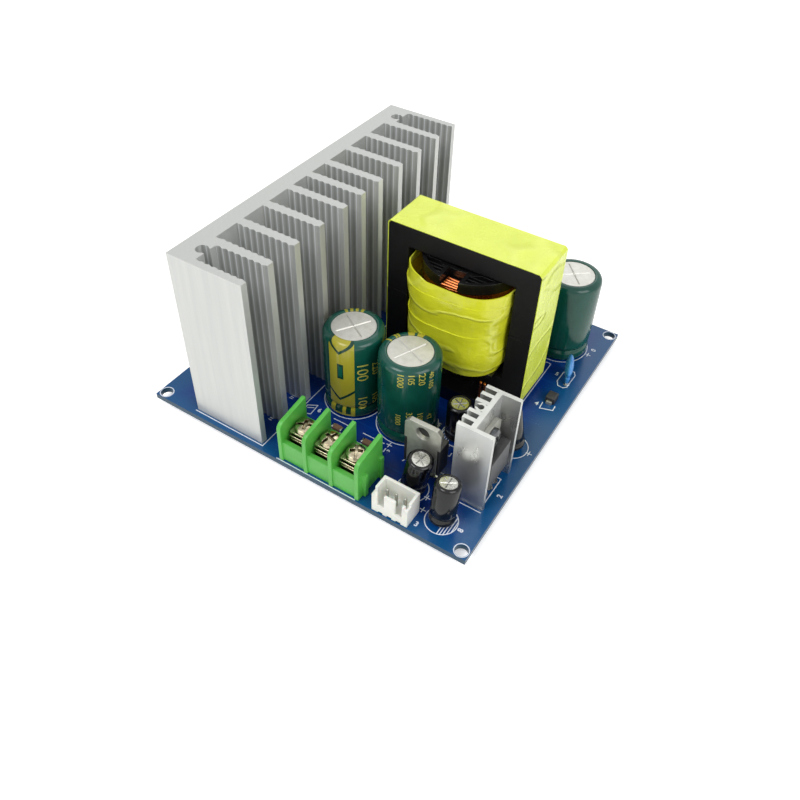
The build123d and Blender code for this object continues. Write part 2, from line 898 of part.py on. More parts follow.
# White pin header: an open box with two slots in its front wall
header_x, header_y = at(header_centre, header_inset + header_depth / 2)
with BuildPart() as header_housing:
    with BuildSketch(level(0)):
        with Locations((header_x, header_y)):
            Rectangle(header_length, header_depth)
    extrude(amount=header_height)
    with BuildSketch(level(header_floor)):
        with Locations((header_x, header_y)):
            Rectangle(header_length - 2 * header_wall, header_depth - 2 * header_wall)
    extrude(amount=header_height - header_floor, mode=Mode.SUBTRACT)
    with BuildSketch(level(header_height)):
        with Locations((header_x, header_y - (header_depth - header_wall) / 2)):
            with GridLocations(header_slot_spacing, 0, 2, 1):
                Rectangle(header_slot_width, header_wall)
    extrude(amount=-header_slot_depth, mode=Mode.SUBTRACT)
    with BuildSketch(level(header_height)):
        with Locations((header_x, header_y - (header_depth - header_step) / 2)):
            with GridLocations(header_length - header_wall, 0, 2, 1):
                Rectangle(header_wall, header_step)
    extrude(amount=-header_step_drop, mode=Mode.SUBTRACT)
    with BuildSketch(level(0)):
        with Locations((header_x, header_y - header_depth / 2)):
            with GridLocations(header_pin_pitch, 0, 3, 1):
                Rectangle(header_foot_gap, header_depth * 0.5)
    extrude(amount=header_foot, mode=Mode.SUBTRACT)
save(header_housing, "header_housing")

with BuildPart() as header_pins:
    with BuildSketch(level(header_floor)):
        with Locations(*header_spots):
            Rectangle(header_pin_size, header_pin_size)
    extrude(amount=header_pin_height - header_floor)
    chamfer(header_pins.edges().group_by(Axis.Z)[-1], header_pin_size * 0.3)
save(header_pins, "header_pins")

# Regulator heatsink: web, two flanges and short fins, with a groove for its mounting pin
web_left = sink_left + sink_fin_length
groove_x, groove_y = at(web_left - sink_groove_inset, sink_centre)
with BuildPart() as regulator_heatsink:
    with BuildSketch(level(0)):
        with Locations(at(web_left + sink_web / 2, sink_centre)):
            Rectangle(sink_web, sink_width)
        flange_offset = (sink_width - sink_flange) / 2
        with Locations(at(sink_left + sink_depth / 2, sink_centre)):
            with GridLocations(0, 2 * flange_offset, 1, 2):
                Rectangle(sink_depth, sink_flange)
        with Locations(at(sink_left + sink_fin_length / 2, sink_centre)):
            for fin in range(1, sink_fins + 1):
                with GridLocations(0, 2 * (flange_offset - fin * sink_fin_pitch), 1, 2):
                    Rectangle(sink_fin_length, sink_flange)
        with Locations((groove_x, groove_y)):
            Circle(sink_groove_radius + sink_flange * 0.6)
            Circle(sink_groove_radius, mode=Mode.SUBTRACT)
        with Locations((groove_x - sink_groove_radius - sink_flange / 2, groove_y)):
            Rectangle(2 * sink_flange, sink_groove_neck, mode=Mode.SUBTRACT)
    extrude(amount=sink_height)
save(regulator_heatsink, "regulator_heatsink")

with BuildPart() as regulator_heatsink_pin:
    with BuildSketch(level(0)):
        with Locations((groove_x, groove_y)):
            RegularPolygon(sink_groove_radius, screw_sides)
    extrude(amount=sink_pin_length)
save(regulator_heatsink_pin, "regulator_heatsink_pin")

with BuildPart() as regulator_screw:
    with BuildSketch(regulator_plane.offset(tab_thickness)):
        with Locations((0, regulator_body_base + tab_height - tab_hole_drop)):
            RegularPolygon(regulator_screw_head / 2, round_sides)
    extrude(amount=regulator_screw_head_height)
save(regulator_screw, "regulator_screw")

# Ceramic disc capacitor, standing on its two leads
disc_plane = Plane(
    origin=(disc_x, disc_y, board_top + disc_stand + disc_diameter / 2),
    x_dir=(disc_direction[0], disc_direction[1], 0),
    z_dir=(disc_direction[1], -disc_direction[0], 0),
)
with BuildPart() as ceramic_disc:
    with BuildSketch(disc_plane):
        Circle(disc_diameter / 2)
    extrude(amount=disc_thickness / 2, both=True)
save(ceramic_disc, "ceramic_capacitor_disc")

disc_radius = disc_diameter / 2
disc_lead_inner = (disc_lead_pitch - disc_lead_diameter) / 2
disc_lead_top = disc_stand + disc_radius - math.sqrt(disc_radius**2 - disc_lead_inner**2)
with BuildPart() as disc_leads:
    with BuildSketch(level(0)):
        with Locations(*disc_lead_spots):
            Rectangle(disc_lead_diameter, disc_lead_diameter)
    extrude(amount=disc_lead_top)
save(disc_leads, "ceramic_capacitor_leads")

# Surface-mounted diode
diode_x, diode_y = at(*diode_place)
with BuildPart() as diode_body:
    with BuildSketch(level(0)):
        with Locations((diode_x, diode_y)):
            Rectangle(diode_width, diode_length - 2 * diode_end)
    extrude(amount=diode_height)
    chamfer(diode_body.edges().group_by(Axis.Z)[-1], diode_height * 0.1)
save(diode_body, "diode_body")

with BuildPart() as diode_terminals:
    with BuildSketch(level(0)):
        with Locations((diode_x, diode_y)):
            with GridLocations(0, diode_length - diode_end, 1, 2):
                Rectangle(diode_width * 0.6, diode_end)
    extrude(amount=diode_height * 0.5)
save(diode_terminals, "diode_terminals")

# Chip resistors and capacitors
with BuildPart() as chip_bodies:
    with BuildSketch(level(0)):
        for place in chip_places:
            with Locations(at(*place)):
                Rectangle(chip_length - 2 * chip_end, chip_width)
    extrude(amount=chip_height)
save(chip_bodies, "chip_bodies")

with BuildPart() as chip_terminals:
    with BuildSketch(level(0)):
        for place in chip_places:
            with Locations(at(*place)):
                with GridLocations(chip_length - chip_end, 0, 2, 1):
                    Rectangle(chip_end, chip_width)
    extrude(amount=chip_height)
save(chip_terminals, "chip_terminals")
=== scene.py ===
import math

import bpy
from mathutils import Matrix, Vector


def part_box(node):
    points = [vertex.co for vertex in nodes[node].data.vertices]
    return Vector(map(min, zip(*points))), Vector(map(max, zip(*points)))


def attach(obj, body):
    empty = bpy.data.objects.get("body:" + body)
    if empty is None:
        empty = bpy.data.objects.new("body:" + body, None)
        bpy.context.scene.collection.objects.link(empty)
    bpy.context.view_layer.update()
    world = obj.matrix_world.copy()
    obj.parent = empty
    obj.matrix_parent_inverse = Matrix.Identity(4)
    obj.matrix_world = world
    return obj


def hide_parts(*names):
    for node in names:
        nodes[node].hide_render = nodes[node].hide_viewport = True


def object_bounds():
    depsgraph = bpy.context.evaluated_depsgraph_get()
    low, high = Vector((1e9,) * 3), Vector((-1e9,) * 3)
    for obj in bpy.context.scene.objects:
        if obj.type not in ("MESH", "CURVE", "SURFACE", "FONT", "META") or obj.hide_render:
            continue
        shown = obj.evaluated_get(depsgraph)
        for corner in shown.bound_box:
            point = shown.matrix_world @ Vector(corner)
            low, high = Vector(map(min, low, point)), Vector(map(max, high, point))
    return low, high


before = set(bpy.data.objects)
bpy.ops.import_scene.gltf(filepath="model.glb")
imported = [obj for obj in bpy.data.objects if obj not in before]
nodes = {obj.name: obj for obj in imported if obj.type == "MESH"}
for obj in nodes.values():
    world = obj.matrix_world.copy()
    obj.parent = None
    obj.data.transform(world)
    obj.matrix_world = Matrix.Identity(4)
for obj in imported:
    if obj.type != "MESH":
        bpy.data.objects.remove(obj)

cadBox = [list(corner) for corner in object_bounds()]
mm = 0.001
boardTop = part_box("circuit_board")[1][2]
floorLevel = cadBox[0][2]
finishes = {}
print("frame loaded:", len(nodes), "nodes")


def hexToLinear(code):
    channels = [int(code[k:k + 2], 16) / 255 for k in (1, 3, 5)]
    linear = [c / 12.92 if c <= 0.04045 else ((c + 0.055) / 1.055) ** 2.4 for c in channels]
    return (*linear, 1.0)


def addNode(tree, kind, settings=None, links=None):
    # a link comes from a socket, or from a node's first output
    node = tree.nodes.new("ShaderNode" + kind)
    for key, value in (settings or {}).items():
        if isinstance(key, int) or key in node.inputs:
            node.inputs[key].default_value = value
        else:
            setattr(node, key, value)
    for key, source in (links or {}).items():
        tree.links.new(getattr(source, "outputs", [source])[0], node.inputs[key])
    return node


def clearSelection():
    if bpy.context.mode != "OBJECT":
        bpy.ops.object.mode_set(mode="OBJECT")
    bpy.ops.object.select_all(action="DESELECT")


def makeActive(piece):
    clearSelection()
    piece.select_set(True)
    bpy.context.view_layer.objects.active = piece


def pickIn(piece, kind, test):
    # selects the faces, edges or vertices that pass the test, and leaves the piece in edit mode
    makeActive(piece)
    bpy.ops.object.mode_set(mode="EDIT")
    bpy.ops.mesh.select_mode(type=kind)
    bpy.ops.mesh.select_all(action="DESELECT")
    bpy.ops.object.mode_set(mode="OBJECT")
    parts = {"FACE": piece.data.polygons, "EDGE": piece.data.edges, "VERT": piece.data.vertices}
    for part in parts[kind]:
        part.select = test(part)
    bpy.ops.object.mode_set(mode="EDIT")


def joinPieces(pieces):
    clearSelection()
    for piece in pieces:
        piece.select_set(True)
    bpy.context.view_layer.objects.active = pieces[0]
    if len(pieces) > 1:
        bpy.ops.object.join()
    return bpy.context.object


def settle(piece, name, material, *replaced, smooth=35):
    makeActive(piece)
    bpy.ops.object.transform_apply(location=True, rotation=True, scale=True)
    bpy.ops.object.shade_smooth_by_angle(angle=math.radians(smooth))
    piece.name = piece.data.name = name
    piece.data.materials.clear()
    piece.data.materials.append(finishes[material])
    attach(piece, "root")
    if replaced:
        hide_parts(*replaced)
    return piece


def applyModifier(piece, kind, **settings):
    makeActive(piece)
    modifier = piece.modifiers.new(kind.title(), kind)
    for key, value in settings.items():
        setattr(modifier, key, value)
    bpy.ops.object.modifier_apply(modifier=modifier.name)


def addBlock(place, size, turn=(0, 0, 0)):
    # size in mm, place in metres
    clearSelection()
    bpy.ops.mesh.primitive_cube_add(size=mm, location=place, rotation=turn, scale=size)
    return bpy.context.object


def cutAway(piece, cutter):
    applyModifier(piece, "BOOLEAN", operation="DIFFERENCE", object=cutter, solver="EXACT")
    bpy.data.objects.remove(cutter)


def turnBy(angle, axis="Z"):
    return Matrix.Rotation(math.radians(angle), 4, axis)


def sliceAt(place, normal):
    bpy.ops.mesh.select_all(action="SELECT")
    bpy.ops.mesh.bisect(plane_co=place, plane_no=normal)


def addText(words, size, **settings):
    # figures centred on the origin, as a mesh; size in mm
    clearSelection()
    bpy.ops.object.text_add()
    text = bpy.context.object.data
    text.body, text.size, text.align_x, text.align_y = words, size * mm, "CENTER", "CENTER"
    for key, value in settings.items():
        setattr(text, key, value)
    bpy.ops.object.convert(target="MESH")
    return bpy.context.object


def turnProfile(profile, steps=64):
    # a disc extruded up its profile, ring by ring; the profile is (radius, height) in mm
    clearSelection()
    radius, height = profile[0]
    bpy.ops.mesh.primitive_circle_add(
        vertices=steps, radius=radius * mm, fill_type="NGON", location=(0, 0, height * mm)
    )
    piece = bpy.context.object
    bpy.ops.object.transform_apply(location=True, rotation=True, scale=True)
    bpy.ops.object.mode_set(mode="EDIT")
    bpy.ops.mesh.select_mode(type="FACE")
    bpy.ops.mesh.select_all(action="SELECT")
    for nextRadius, nextHeight in profile[1:]:
        bpy.ops.mesh.extrude_region_move(
            TRANSFORM_OT_translate={"value": (0, 0, (nextHeight - height) * mm)}
        )
        factor = nextRadius / radius
        bpy.ops.transform.resize(value=(factor, factor, 1), center_override=(0, 0, 0))
        radius, height = nextRadius, nextHeight
    bpy.ops.mesh.select_all(action="SELECT")
    bpy.ops.mesh.normals_make_consistent(inside=False)
    bpy.ops.object.mode_set(mode="OBJECT")
    return piece


def copyNode(nodeName):
    # the node's own shape as a new piece, with its loose triangles merged
    piece = bpy.data.objects.new(nodeName + "Copy", nodes[nodeName].data.copy())
    bpy.context.collection.objects.link(piece)
    makeActive(piece)
    bpy.ops.object.mode_set(mode="EDIT")
    bpy.ops.mesh.select_all(action="SELECT")
    bpy.ops.mesh.remove_doubles(threshold=0.002 * mm)
    bpy.ops.mesh.dissolve_limited(angle_limit=math.radians(1.5))
    bpy.ops.object.mode_set(mode="OBJECT")
    return piece


def looseBoxes(nodeName):
    # lowest corner, highest corner and centre of each separate solid in a node
    piece = copyNode(nodeName)
    bpy.ops.mesh.separate(type="LOOSE")
    boxes = []
    for part in list(bpy.context.selected_objects):
        corners = [vertex.co.copy() for vertex in part.data.vertices]
        low = Vector([min(corner[k] for corner in corners) for k in range(3)])
        high = Vector([max(corner[k] for corner in corners) for k in range(3)])
        boxes.append((low, high, (low + high) / 2))
        bpy.data.objects.remove(part)
    return sorted(boxes, key=lambda box: tuple(round(value, 5) for value in box[0]))


def dressNode(nodeName, pieceName, material, edge, edgeAngle=40, segments=2):
    # the node with its edges broken by a small bevel, as moulding, sawing or stamping leaves them
    piece = copyNode(nodeName)
    applyModifier(
        piece, "BEVEL", width=edge * mm, segments=segments, limit_method="ANGLE",
        angle_limit=math.radians(edgeAngle), use_clamp_overlap=True, harden_normals=False,
    )
    settle(piece, pieceName, material, nodeName)
    # flat faces stay flat, and the bevels take up the turn of the light
    applyModifier(piece, "WEIGHTED_NORMAL", mode="FACE_AREA", weight=100, keep_sharp=True)


def dressNodes(pieces):
    for nodeName, row in pieces.items():
        dressNode(nodeName, *row)


def makeFinish(name, look):
    # common base of every finish: slow mottling in colour, fine grain in roughness and relief
    material = finishes[name] = bpy.data.materials.new(name)
    material.use_nodes = True
    tree = material.node_tree
    shader = tree.nodes["Principled BSDF"]
    for socket, value in look.get("sockets", {}).items():
        shader.inputs[socket].default_value = value
    place = addNode(tree, "TexCoord").outputs["Object"]
    stretch = look.get("stretch", (1, 1, 1))
    stretched = addNode(tree, "Mapping", {"Scale": stretch}, {"Vector": place})
    mottle = addNode(
        tree, "TexNoise", {"Scale": 1 / (look["mottle"] * mm), "Detail": 4.0, "Roughness": 0.6},
        {"Vector": stretched},
    )
    grain = addNode(
        tree, "TexNoise",
        {"Scale": 1 / (look["grain"] * mm), "Detail": look.get("detail", 3.0), "Roughness": 0.6},
        {"Vector": stretched},
    )
    blend = addNode(tree, "MapRange", {"From Min": 0.3, "From Max": 0.7}, {"Value": mottle})
    colour = addNode(
        tree, "Mix",
        {"data_type": "RGBA", 6: hexToLinear(look["colour"]), 7: hexToLinear(look["tint"])},
        {0: blend},
    )
    low, high = look["rough"]
    rough = addNode(
        tree, "MapRange", {"From Min": 0.3, "From Max": 0.7, "To Min": low, "To Max": high},
        {"Value": grain},
    )
    bump = addNode(
        tree, "Bump", {"Strength": look.get("strength", 0.5), "Distance": look["relief"] * mm},
        {"Height": grain},
    )
    tree.links.new(colour.outputs[2], shader.inputs["Base Color"])
    tree.links.new(rough.outputs[0], shader.inputs["Roughness"])
    tree.links.new(bump.outputs[0], shader.inputs["Normal"])
    return {"tree": tree, "shader": shader, "place": place, "rough": rough, "bump": bump}


def paintOver(finish, mask, code):
    # a second colour where the mask is 1, over what the finish has so far
    tree, shader = finish["tree"], finish["shader"]
    below = shader.inputs["Base Color"].links[0].from_socket
    over = addNode(tree, "Mix", {"data_type": "RGBA", 7: hexToLinear(code)}, {0: mask, 6: below})
    tree.links.new(over.outputs[2], shader.inputs["Base Color"])


def facing(tree, axis):
    # 1 on surfaces that look along the axis, either way
    normal = addNode(tree, "NewGeometry").outputs["Normal"]
    parts = addNode(tree, "SeparateXYZ", None, {0: normal})
    size = addNode(tree, "Math", {"operation": "ABSOLUTE"}, {0: parts.outputs[axis]})
    return addNode(tree, "Math", {"operation": "GREATER_THAN", 1: 0.6}, {0: size})


# Finishes that need no more than the common base
plainFinishes = {
    # Sintered ferrite: near black, fine sandy grain and a dull sheen
    "ferrite": {
        "colour": "#0f0f10", "tint": "#09090a", "mottle": 4.0, "grain": 0.25,
        "rough": (0.46, 0.62), "relief": 0.02, "sockets": {"IOR": 1.5, "Specular IOR Level": 0.25},
    },
    # Moulded phenolic: black with a soft gloss
    "phenolic": {
        "colour": "#121213", "tint": "#0b0b0c", "mottle": 3.0, "grain": 0.3,
        "rough": (0.16, 0.26), "relief": 0.01, "sockets": {"IOR": 1.58},
    },
    # Enamelled copper wire: warm orange metal under clear varnish
    "enamelledCopper": {
        "colour": "#c8702f", "tint": "#a4531f", "mottle": 1.5, "grain": 0.2,
        "rough": (0.2, 0.34), "relief": 0.01,
        "sockets": {"Metallic": 1.0, "Coat Weight": 0.6, "Coat Roughness": 0.1},
    },
    # Drawn aluminium can end: pale warm metal with a fine drawn grain
    "canEnd": {
        "colour": "#cfcec8", "tint": "#bfbeb7", "mottle": 1.6, "grain": 0.25,
        "rough": (0.36, 0.52), "relief": 0.02, "sockets": {"Metallic": 0.7},
    },
    # Small can ends: the same metal, brighter drawn, so it mirrors what stands beside it
    "brightCanEnd": {
        "colour": "#bdbdb7", "tint": "#a5a59f", "mottle": 1.0, "grain": 0.25,
        "rough": (0.16, 0.3), "relief": 0.03, "sockets": {"Metallic": 0.95},
    },
    # Moulded polyamide, green: even colour with a faint moulded bloom
    "greenNylon": {
        "colour": "#58b648", "tint": "#4fab40", "mottle": 5.0, "grain": 0.35,
        "rough": (0.32, 0.44), "relief": 0.012,
        "sockets": {"IOR": 1.53, "Subsurface Weight": 0.08, "Subsurface Scale": 0.6 * mm},
    },
    # Moulded nylon, natural white: milky, light passes a little way in
    "whiteNylon": {
        "colour": "#ecece6", "tint": "#e1e3da", "mottle": 4.0, "grain": 0.3,
        "rough": (0.36, 0.5), "relief": 0.012,
        "sockets": {"IOR": 1.53, "Subsurface Weight": 0.15, "Subsurface Scale": 0.8 * mm},
    },
    # Transfer-moulded epoxy: charcoal, matt and slightly rough
    "mouldedEpoxy": {
        "colour": "#262627", "tint": "#1c1c1d", "mottle": 2.0, "grain": 0.15,
        "rough": (0.34, 0.5), "relief": 0.015, "sockets": {"IOR": 1.58},
    },
    # Tin-plated copper: bright but soft metal
    "tinPlate": {
        "colour": "#b5b5ac", "tint": "#a1a198", "mottle": 1.5, "grain": 0.2,
        "rough": (0.34, 0.52), "relief": 0.02, "sockets": {"Metallic": 0.7},
    },
    # Zinc-plated steel screws: cooler and duller
    "zincSteel": {
        "colour": "#66686a", "tint": "#525456", "mottle": 1.2, "grain": 0.3,
        "rough": (0.24, 0.38), "relief": 0.01, "sockets": {"Metallic": 1.0},
    },
    # Solder: bright grey with a frozen, slightly rippled skin
    "solderMetal": {
        "colour": "#d2d4d6", "tint": "#bfc2c5", "mottle": 0.9, "grain": 0.4,
        "rough": (0.16, 0.34), "relief": 0.03, "sockets": {"Metallic": 1.0},
    },
    # Silicone rubber on glass cloth: grey and matt
    "siliconePad": {
        "colour": "#9a9ea0", "tint": "#8b8f92", "mottle": 3.0, "grain": 0.4,
        "rough": (0.6, 0.8), "relief": 0.03, "sockets": {"IOR": 1.41},
    },
    # Dipped epoxy on a ceramic disc: sky blue, rounded and glossy
    "dippedEpoxy": {
        "colour": "#3f8fd6", "tint": "#2f7cc4", "mottle": 2.5, "grain": 1.0,
        "rough": (0.22, 0.34), "relief": 0.04, "sockets": {"IOR": 1.55},
    },
    # Fired ceramic chip: brown and matt
    "firedCeramic": {
        "colour": "#84674f", "tint": "#6f543f", "mottle": 0.8, "grain": 0.12,
        "rough": (0.42, 0.6), "relief": 0.015, "sockets": {"IOR": 1.6},
    },
    # Legend ink: thin white epoxy ink, a little uneven
    "legendInk": {
        "colour": "#e6ebf2", "tint": "#cdd6e4", "mottle": 1.0, "grain": 0.15,
        "rough": (0.45, 0.6), "relief": 0.01, "sockets": {"IOR": 1.5},
    },
    # Gold printing ink: flat metallic ochre
    "goldInk": {
        "colour": "#d4ca58", "tint": "#bcb148", "mottle": 1.0, "grain": 0.2,
        "rough": (0.35, 0.5), "relief": 0.005, "sockets": {"Metallic": 0.2},
    },
    # Black PVC heat-shrink sleeve: glossy, a little uneven where it shrank
    "blackSleeve": {
        "colour": "#0d0d10", "tint": "#070709", "mottle": 3.0, "grain": 2.0, "detail": 0.6,
        "stretch": (1.0, 1.0, 0.5), "rough": (0.1, 0.2), "relief": 0.2, "strength": 0.6,
        "sockets": {"IOR": 1.5, "Specular IOR Level": 0.42},
    },
}
for plainName, plainLook in plainFinishes.items():
    makeFinish(plainName, plainLook)

# Extruded aluminium, mill finish: soft grey metal, drawn streaks up the profile
aluminiumLook = {
    "colour": "#cccdca", "tint": "#c3c5c3", "mottle": 2.2, "grain": 0.5,
    "stretch": (1.0, 1.0, 0.04), "rough": (0.36, 0.5), "relief": 0.03,
    "sockets": {"Metallic": 0.55},
    "sawnColour": "#bdbfbc", "sawnRough": 0.16, "sawPitch": 1.332, "sawDepth": 0.03,
    "ribs": {  # pitch and first rib along x, middle and reach of the inner fin faces along y
        "pitch": 1.9, "first": -28.1, "middle": 0.75, "reach": 46.0,
        # painted shade darkens the valleys, and a painted highlight lights the crests
        "paintedShadeAndHighlight": [(-0.2, 1.0, 0.34, "#64696b"), (-0.72, -0.97, 0.85, "#f4f7fa")],
    },
}


def paintRibLight(finish, ribs):
    # painted shade in the valleys and a painted highlight on the crests, on the inner fin faces
    # only, by a wave that is 1 in the valleys and -1 on the crests
    tree = finish["tree"]
    parts = addNode(tree, "SeparateXYZ", None, {0: finish["place"]})
    turns = 2 * math.pi / ribs["pitch"]
    phase = addNode(
        tree, "Math", {"operation": "MULTIPLY_ADD", 1: turns / mm, 2: -turns * ribs["first"]},
        {0: parts.outputs[0]},
    )
    swing = addNode(tree, "Math", {"operation": "COSINE"}, {0: phase})
    inner = addNode(
        tree, "Math", {"operation": "COMPARE", 1: ribs["middle"] * mm, 2: ribs["reach"] * mm},
        {0: parts.outputs[1]},
    )
    onFins = addNode(tree, "Math", {"operation": "MULTIPLY"}, {0: inner, 1: facing(tree, 1)})
    # each pass paints shade into the valleys or a highlight onto the crests
    for start, end, share, code in ribs["paintedShadeAndHighlight"]:
        part = addNode(
            tree, "MapRange", {"From Min": start, "From Max": end, "To Max": share},
            {"Value": swing},
        )
        mask = addNode(tree, "Math", {"operation": "MULTIPLY"}, {0: part, 1: onFins})
        paintOver(finish, mask, code)


def extrudedAluminium(name, look):
    # the sawn ends are duller and carry the blade's lines, drawn coarse enough to show
    finish = makeFinish(name, look)
    tree, shader = finish["tree"], finish["shader"]
    sawn = facing(tree, 2)
    paintOver(finish, sawn, look["sawnColour"])
    if look["ribs"]:
        paintRibLight(finish, look["ribs"])
    lines = addNode(
        tree, "TexWave",
        {"wave_type": "BANDS", "bands_direction": "DIAGONAL",
         "Scale": 0.444 / (look["sawPitch"] * mm),  # the bands repeat every 0.444 / scale
         "Distortion": 3.0, "Detail": 3.0, "Detail Scale": 2.0},
        {"Vector": finish["place"]},
    )
    cut = addNode(tree, "Math", {"operation": "MULTIPLY"}, {0: lines.outputs["Fac"], 1: sawn})
    bump = addNode(
        tree, "Bump", {"Strength": 0.5, "Distance": look["sawDepth"] * mm},
        {"Height": cut, "Normal": finish["bump"]},
    )
    tree.links.new(bump.outputs[0], shader.inputs["Normal"])
    rough = addNode(
        tree, "Math", {"operation": "MULTIPLY_ADD", 1: look["sawnRough"]},
        {0: sawn, 2: finish["rough"]},
    )
    tree.links.new(rough.outputs[0], shader.inputs["Roughness"])


extrudedAluminium("millAluminium", aluminiumLook)
# The small heatsink is the same metal, smoother and brighter, with no ribs
extrudedAluminium("satinAluminium", {
    **aluminiumLook, "colour": "#c6c7c5", "tint": "#bbbdbc", "rough": (0.26, 0.38),
    "sawnColour": "#c8cac6", "mottle": 5.0, "grain": 2.4, "stretch": (1.0, 1.0, 0.3),
    "detail": 0.0, "relief": 0.0015, "sockets": {"Metallic": 0.85}, "ribs": None,
})

# Solder mask on glass-epoxy board: deep blue gloss over copper, paler over bare laminate
maskLook = {
    "colour": "#05368a", "tint": "#042a74", "mottle": 14.0, "grain": 0.6,
    "rough": (0.2, 0.28), "relief": 0.008, "strength": 0.3,
    "sockets": {"IOR": 1.45, "Specular IOR Level": 0.38},
    "laminate": "#0a4c7e", "edge": "#113f58",
    "pour": ((37.0, 46.0), (39.0, 47.0)),  # where the copper starts to fade and ends, in x and y
    "track": "#0d4898", "trackShare": 0.3, "gap": 0.3, "block": (17.0, 8.5),
}


def solderMask(name, look):
    finish = makeFinish(name, look)
    tree = finish["tree"]
    parts = addNode(tree, "SeparateXYZ", None, {0: finish["place"]})
    outside = []
    for axis, (start, end) in enumerate(look["pour"]):
        size = addNode(tree, "Math", {"operation": "ABSOLUTE"}, {0: parts.outputs[axis]})
        outside.append(addNode(
            tree, "MapRange",
            {"interpolation_type": "SMOOTHSTEP", "From Min": start * mm, "From Max": end * mm},
            {"Value": size},
        ))
    margin = addNode(tree, "Math", {"operation": "MAXIMUM"}, {0: outside[0], 1: outside[1]})
    # faint gaps between areas of copper
    wide, deep = look["block"]
    gaps = addNode(
        tree, "TexBrick",
        {"Scale": 1.0, "Mortar Size": look["gap"] * mm, "Brick Width": wide * mm,
         "Row Height": deep * mm, "offset": 0.35,
         "Color1": (0, 0, 0, 1), "Color2": (0, 0, 0, 1), "Mortar": (1, 1, 1, 1)},
        {"Vector": finish["place"]},
    )
    fade = addNode(
        tree, "Math", {"operation": "MULTIPLY", 1: look["trackShare"]}, {0: gaps.outputs["Fac"]}
    )
    paintOver(finish, fade, look["track"])
    paintOver(finish, margin, look["laminate"])
    side = addNode(tree, "Math", {"operation": "SUBTRACT", 0: 1.0}, {1: facing(tree, 2)})
    paintOver(finish, side, look["edge"])


solderMask("boardMask", maskLook)

# Polyester transformer tape: clear lemon yellow film, glossy, with creases that carry a painted
# highlight
tapeLook = {
    "colour": "#dcea4c", "tint": "#d2e040", "mottle": 7.0, "grain": 5.0,
    "stretch": (1.0, 1.0, 0.6), "rough": (0.2, 0.34), "relief": 0.4, "strength": 0.3,
    "sockets": {"IOR": 1.55}, "creaseHighlightColour": "#eff693", "creaseHighlightShare": 0.16, "foldHeight": 0.6,
    "creaseSize": 11.0, "creaseWidth": 0.05, "creaseDepth": 0.4,
    "creaseStretch": (0.5, 0.5, 1.0), "creaseTurn": (0.5, 0.35, 0.4),
}


def creasedFilm(name, look):
    # creases run where a slow noise crosses its middle value, as thin folds in the film, each lit
    # by a painted highlight
    finish = makeFinish(name, look)
    tree, shader = finish["tree"], finish["shader"]
    turned = addNode(
        tree, "Mapping", {"Rotation": look["creaseTurn"], "Scale": look["creaseStretch"]},
        {"Vector": finish["place"]},
    )
    size = look["creaseSize"] * mm
    slow = addNode(
        tree, "TexNoise", {"Scale": 1 / size, "Detail": 1.5, "Roughness": 0.4}, {"Vector": turned}
    )
    middle = addNode(tree, "Math", {"operation": "SUBTRACT", 1: 0.5}, {0: slow})
    away = addNode(tree, "Math", {"operation": "ABSOLUTE"}, {0: middle})
    fold = addNode(
        tree, "MapRange",
        {"interpolation_type": "SMOOTHSTEP", "From Max": look["creaseWidth"],
         "To Min": 1.0, "To Max": 0.0},
        {"Value": away},
    )
    bump = addNode(
        tree, "Bump", {"Strength": look["creaseDepth"], "Distance": look["foldHeight"] * mm},
        {"Height": fold, "Normal": finish["bump"]},
    )
    tree.links.new(bump.outputs[0], shader.inputs["Normal"])
    # painted highlight along each crease
    creaseHighlightMask = addNode(tree, "Math", {"operation": "MULTIPLY", 1: look["creaseHighlightShare"]}, {0: fold})
    paintOver(finish, creaseHighlightMask, look["creaseHighlightColour"])


creasedFilm("coreFilm", tapeLook)
creasedFilm("wrapFilm", {
    **tapeLook, "colour": "#e0e332", "tint": "#cdd125", "grain": 3.0, "strength": 0.4,
    "stretch": (1.0, 1.0, 1.6), "rough": (0.12, 0.26), "creaseStretch": (0.6, 0.6, 1.2),
    "creaseSize": 9.0, "creaseTurn": (0.2, 0.5, 0.1),
})

# Nickel-plated steel: warm bright metal, sharp reflections
nickelLook = {
    "colour": "#cfc6ac", "tint": "#a5987a", "mottle": 0.8, "grain": 0.35,
    "rough": (0.12, 0.26), "relief": 0.05, "sockets": {"Metallic": 1.0},
    # the recess colour is painted shade, laid by ambient occlusion
    "recessShade": "#2e2414", "reach": 0.9, "depth": 0.9,
}


def platedMetal(name, look):
    # painted shade: the colour darkens in the recesses that ambient occlusion finds
    finish = makeFinish(name, look)
    tree = finish["tree"]
    reach = look["reach"] * mm
    openness = addNode(tree, "AmbientOcclusion", {"samples": 8, "Distance": reach})
    shadeShare = addNode(
        tree, "MapRange",
        {"From Min": 0.35, "From Max": 0.85, "To Min": look["depth"], "To Max": 0.0},
        {"Value": openness.outputs["AO"]},
    )
    # paint shade into the recesses
    paintOver(finish, shadeShare, look["recessShade"])


platedMetal("nickelSteel", nickelLook)
print("materials made")

# Green PVC heat-shrink sleeve with gold print: the print is laid out by angle and height
sleeveLook = {
    "colour": "#0f5145", "tint": "#0b4237", "mottle": 6.0, "grain": 2.5,
    "rough": (0.12, 0.22), "relief": 0.05, "strength": 0.35,
    "sockets": {"IOR": 1.5, "Specular IOR Level": 0.42},
    "gold": "#a69e30", "dark": "#0b3a2c", "green": "#0f5a48", "radius": 8,
}


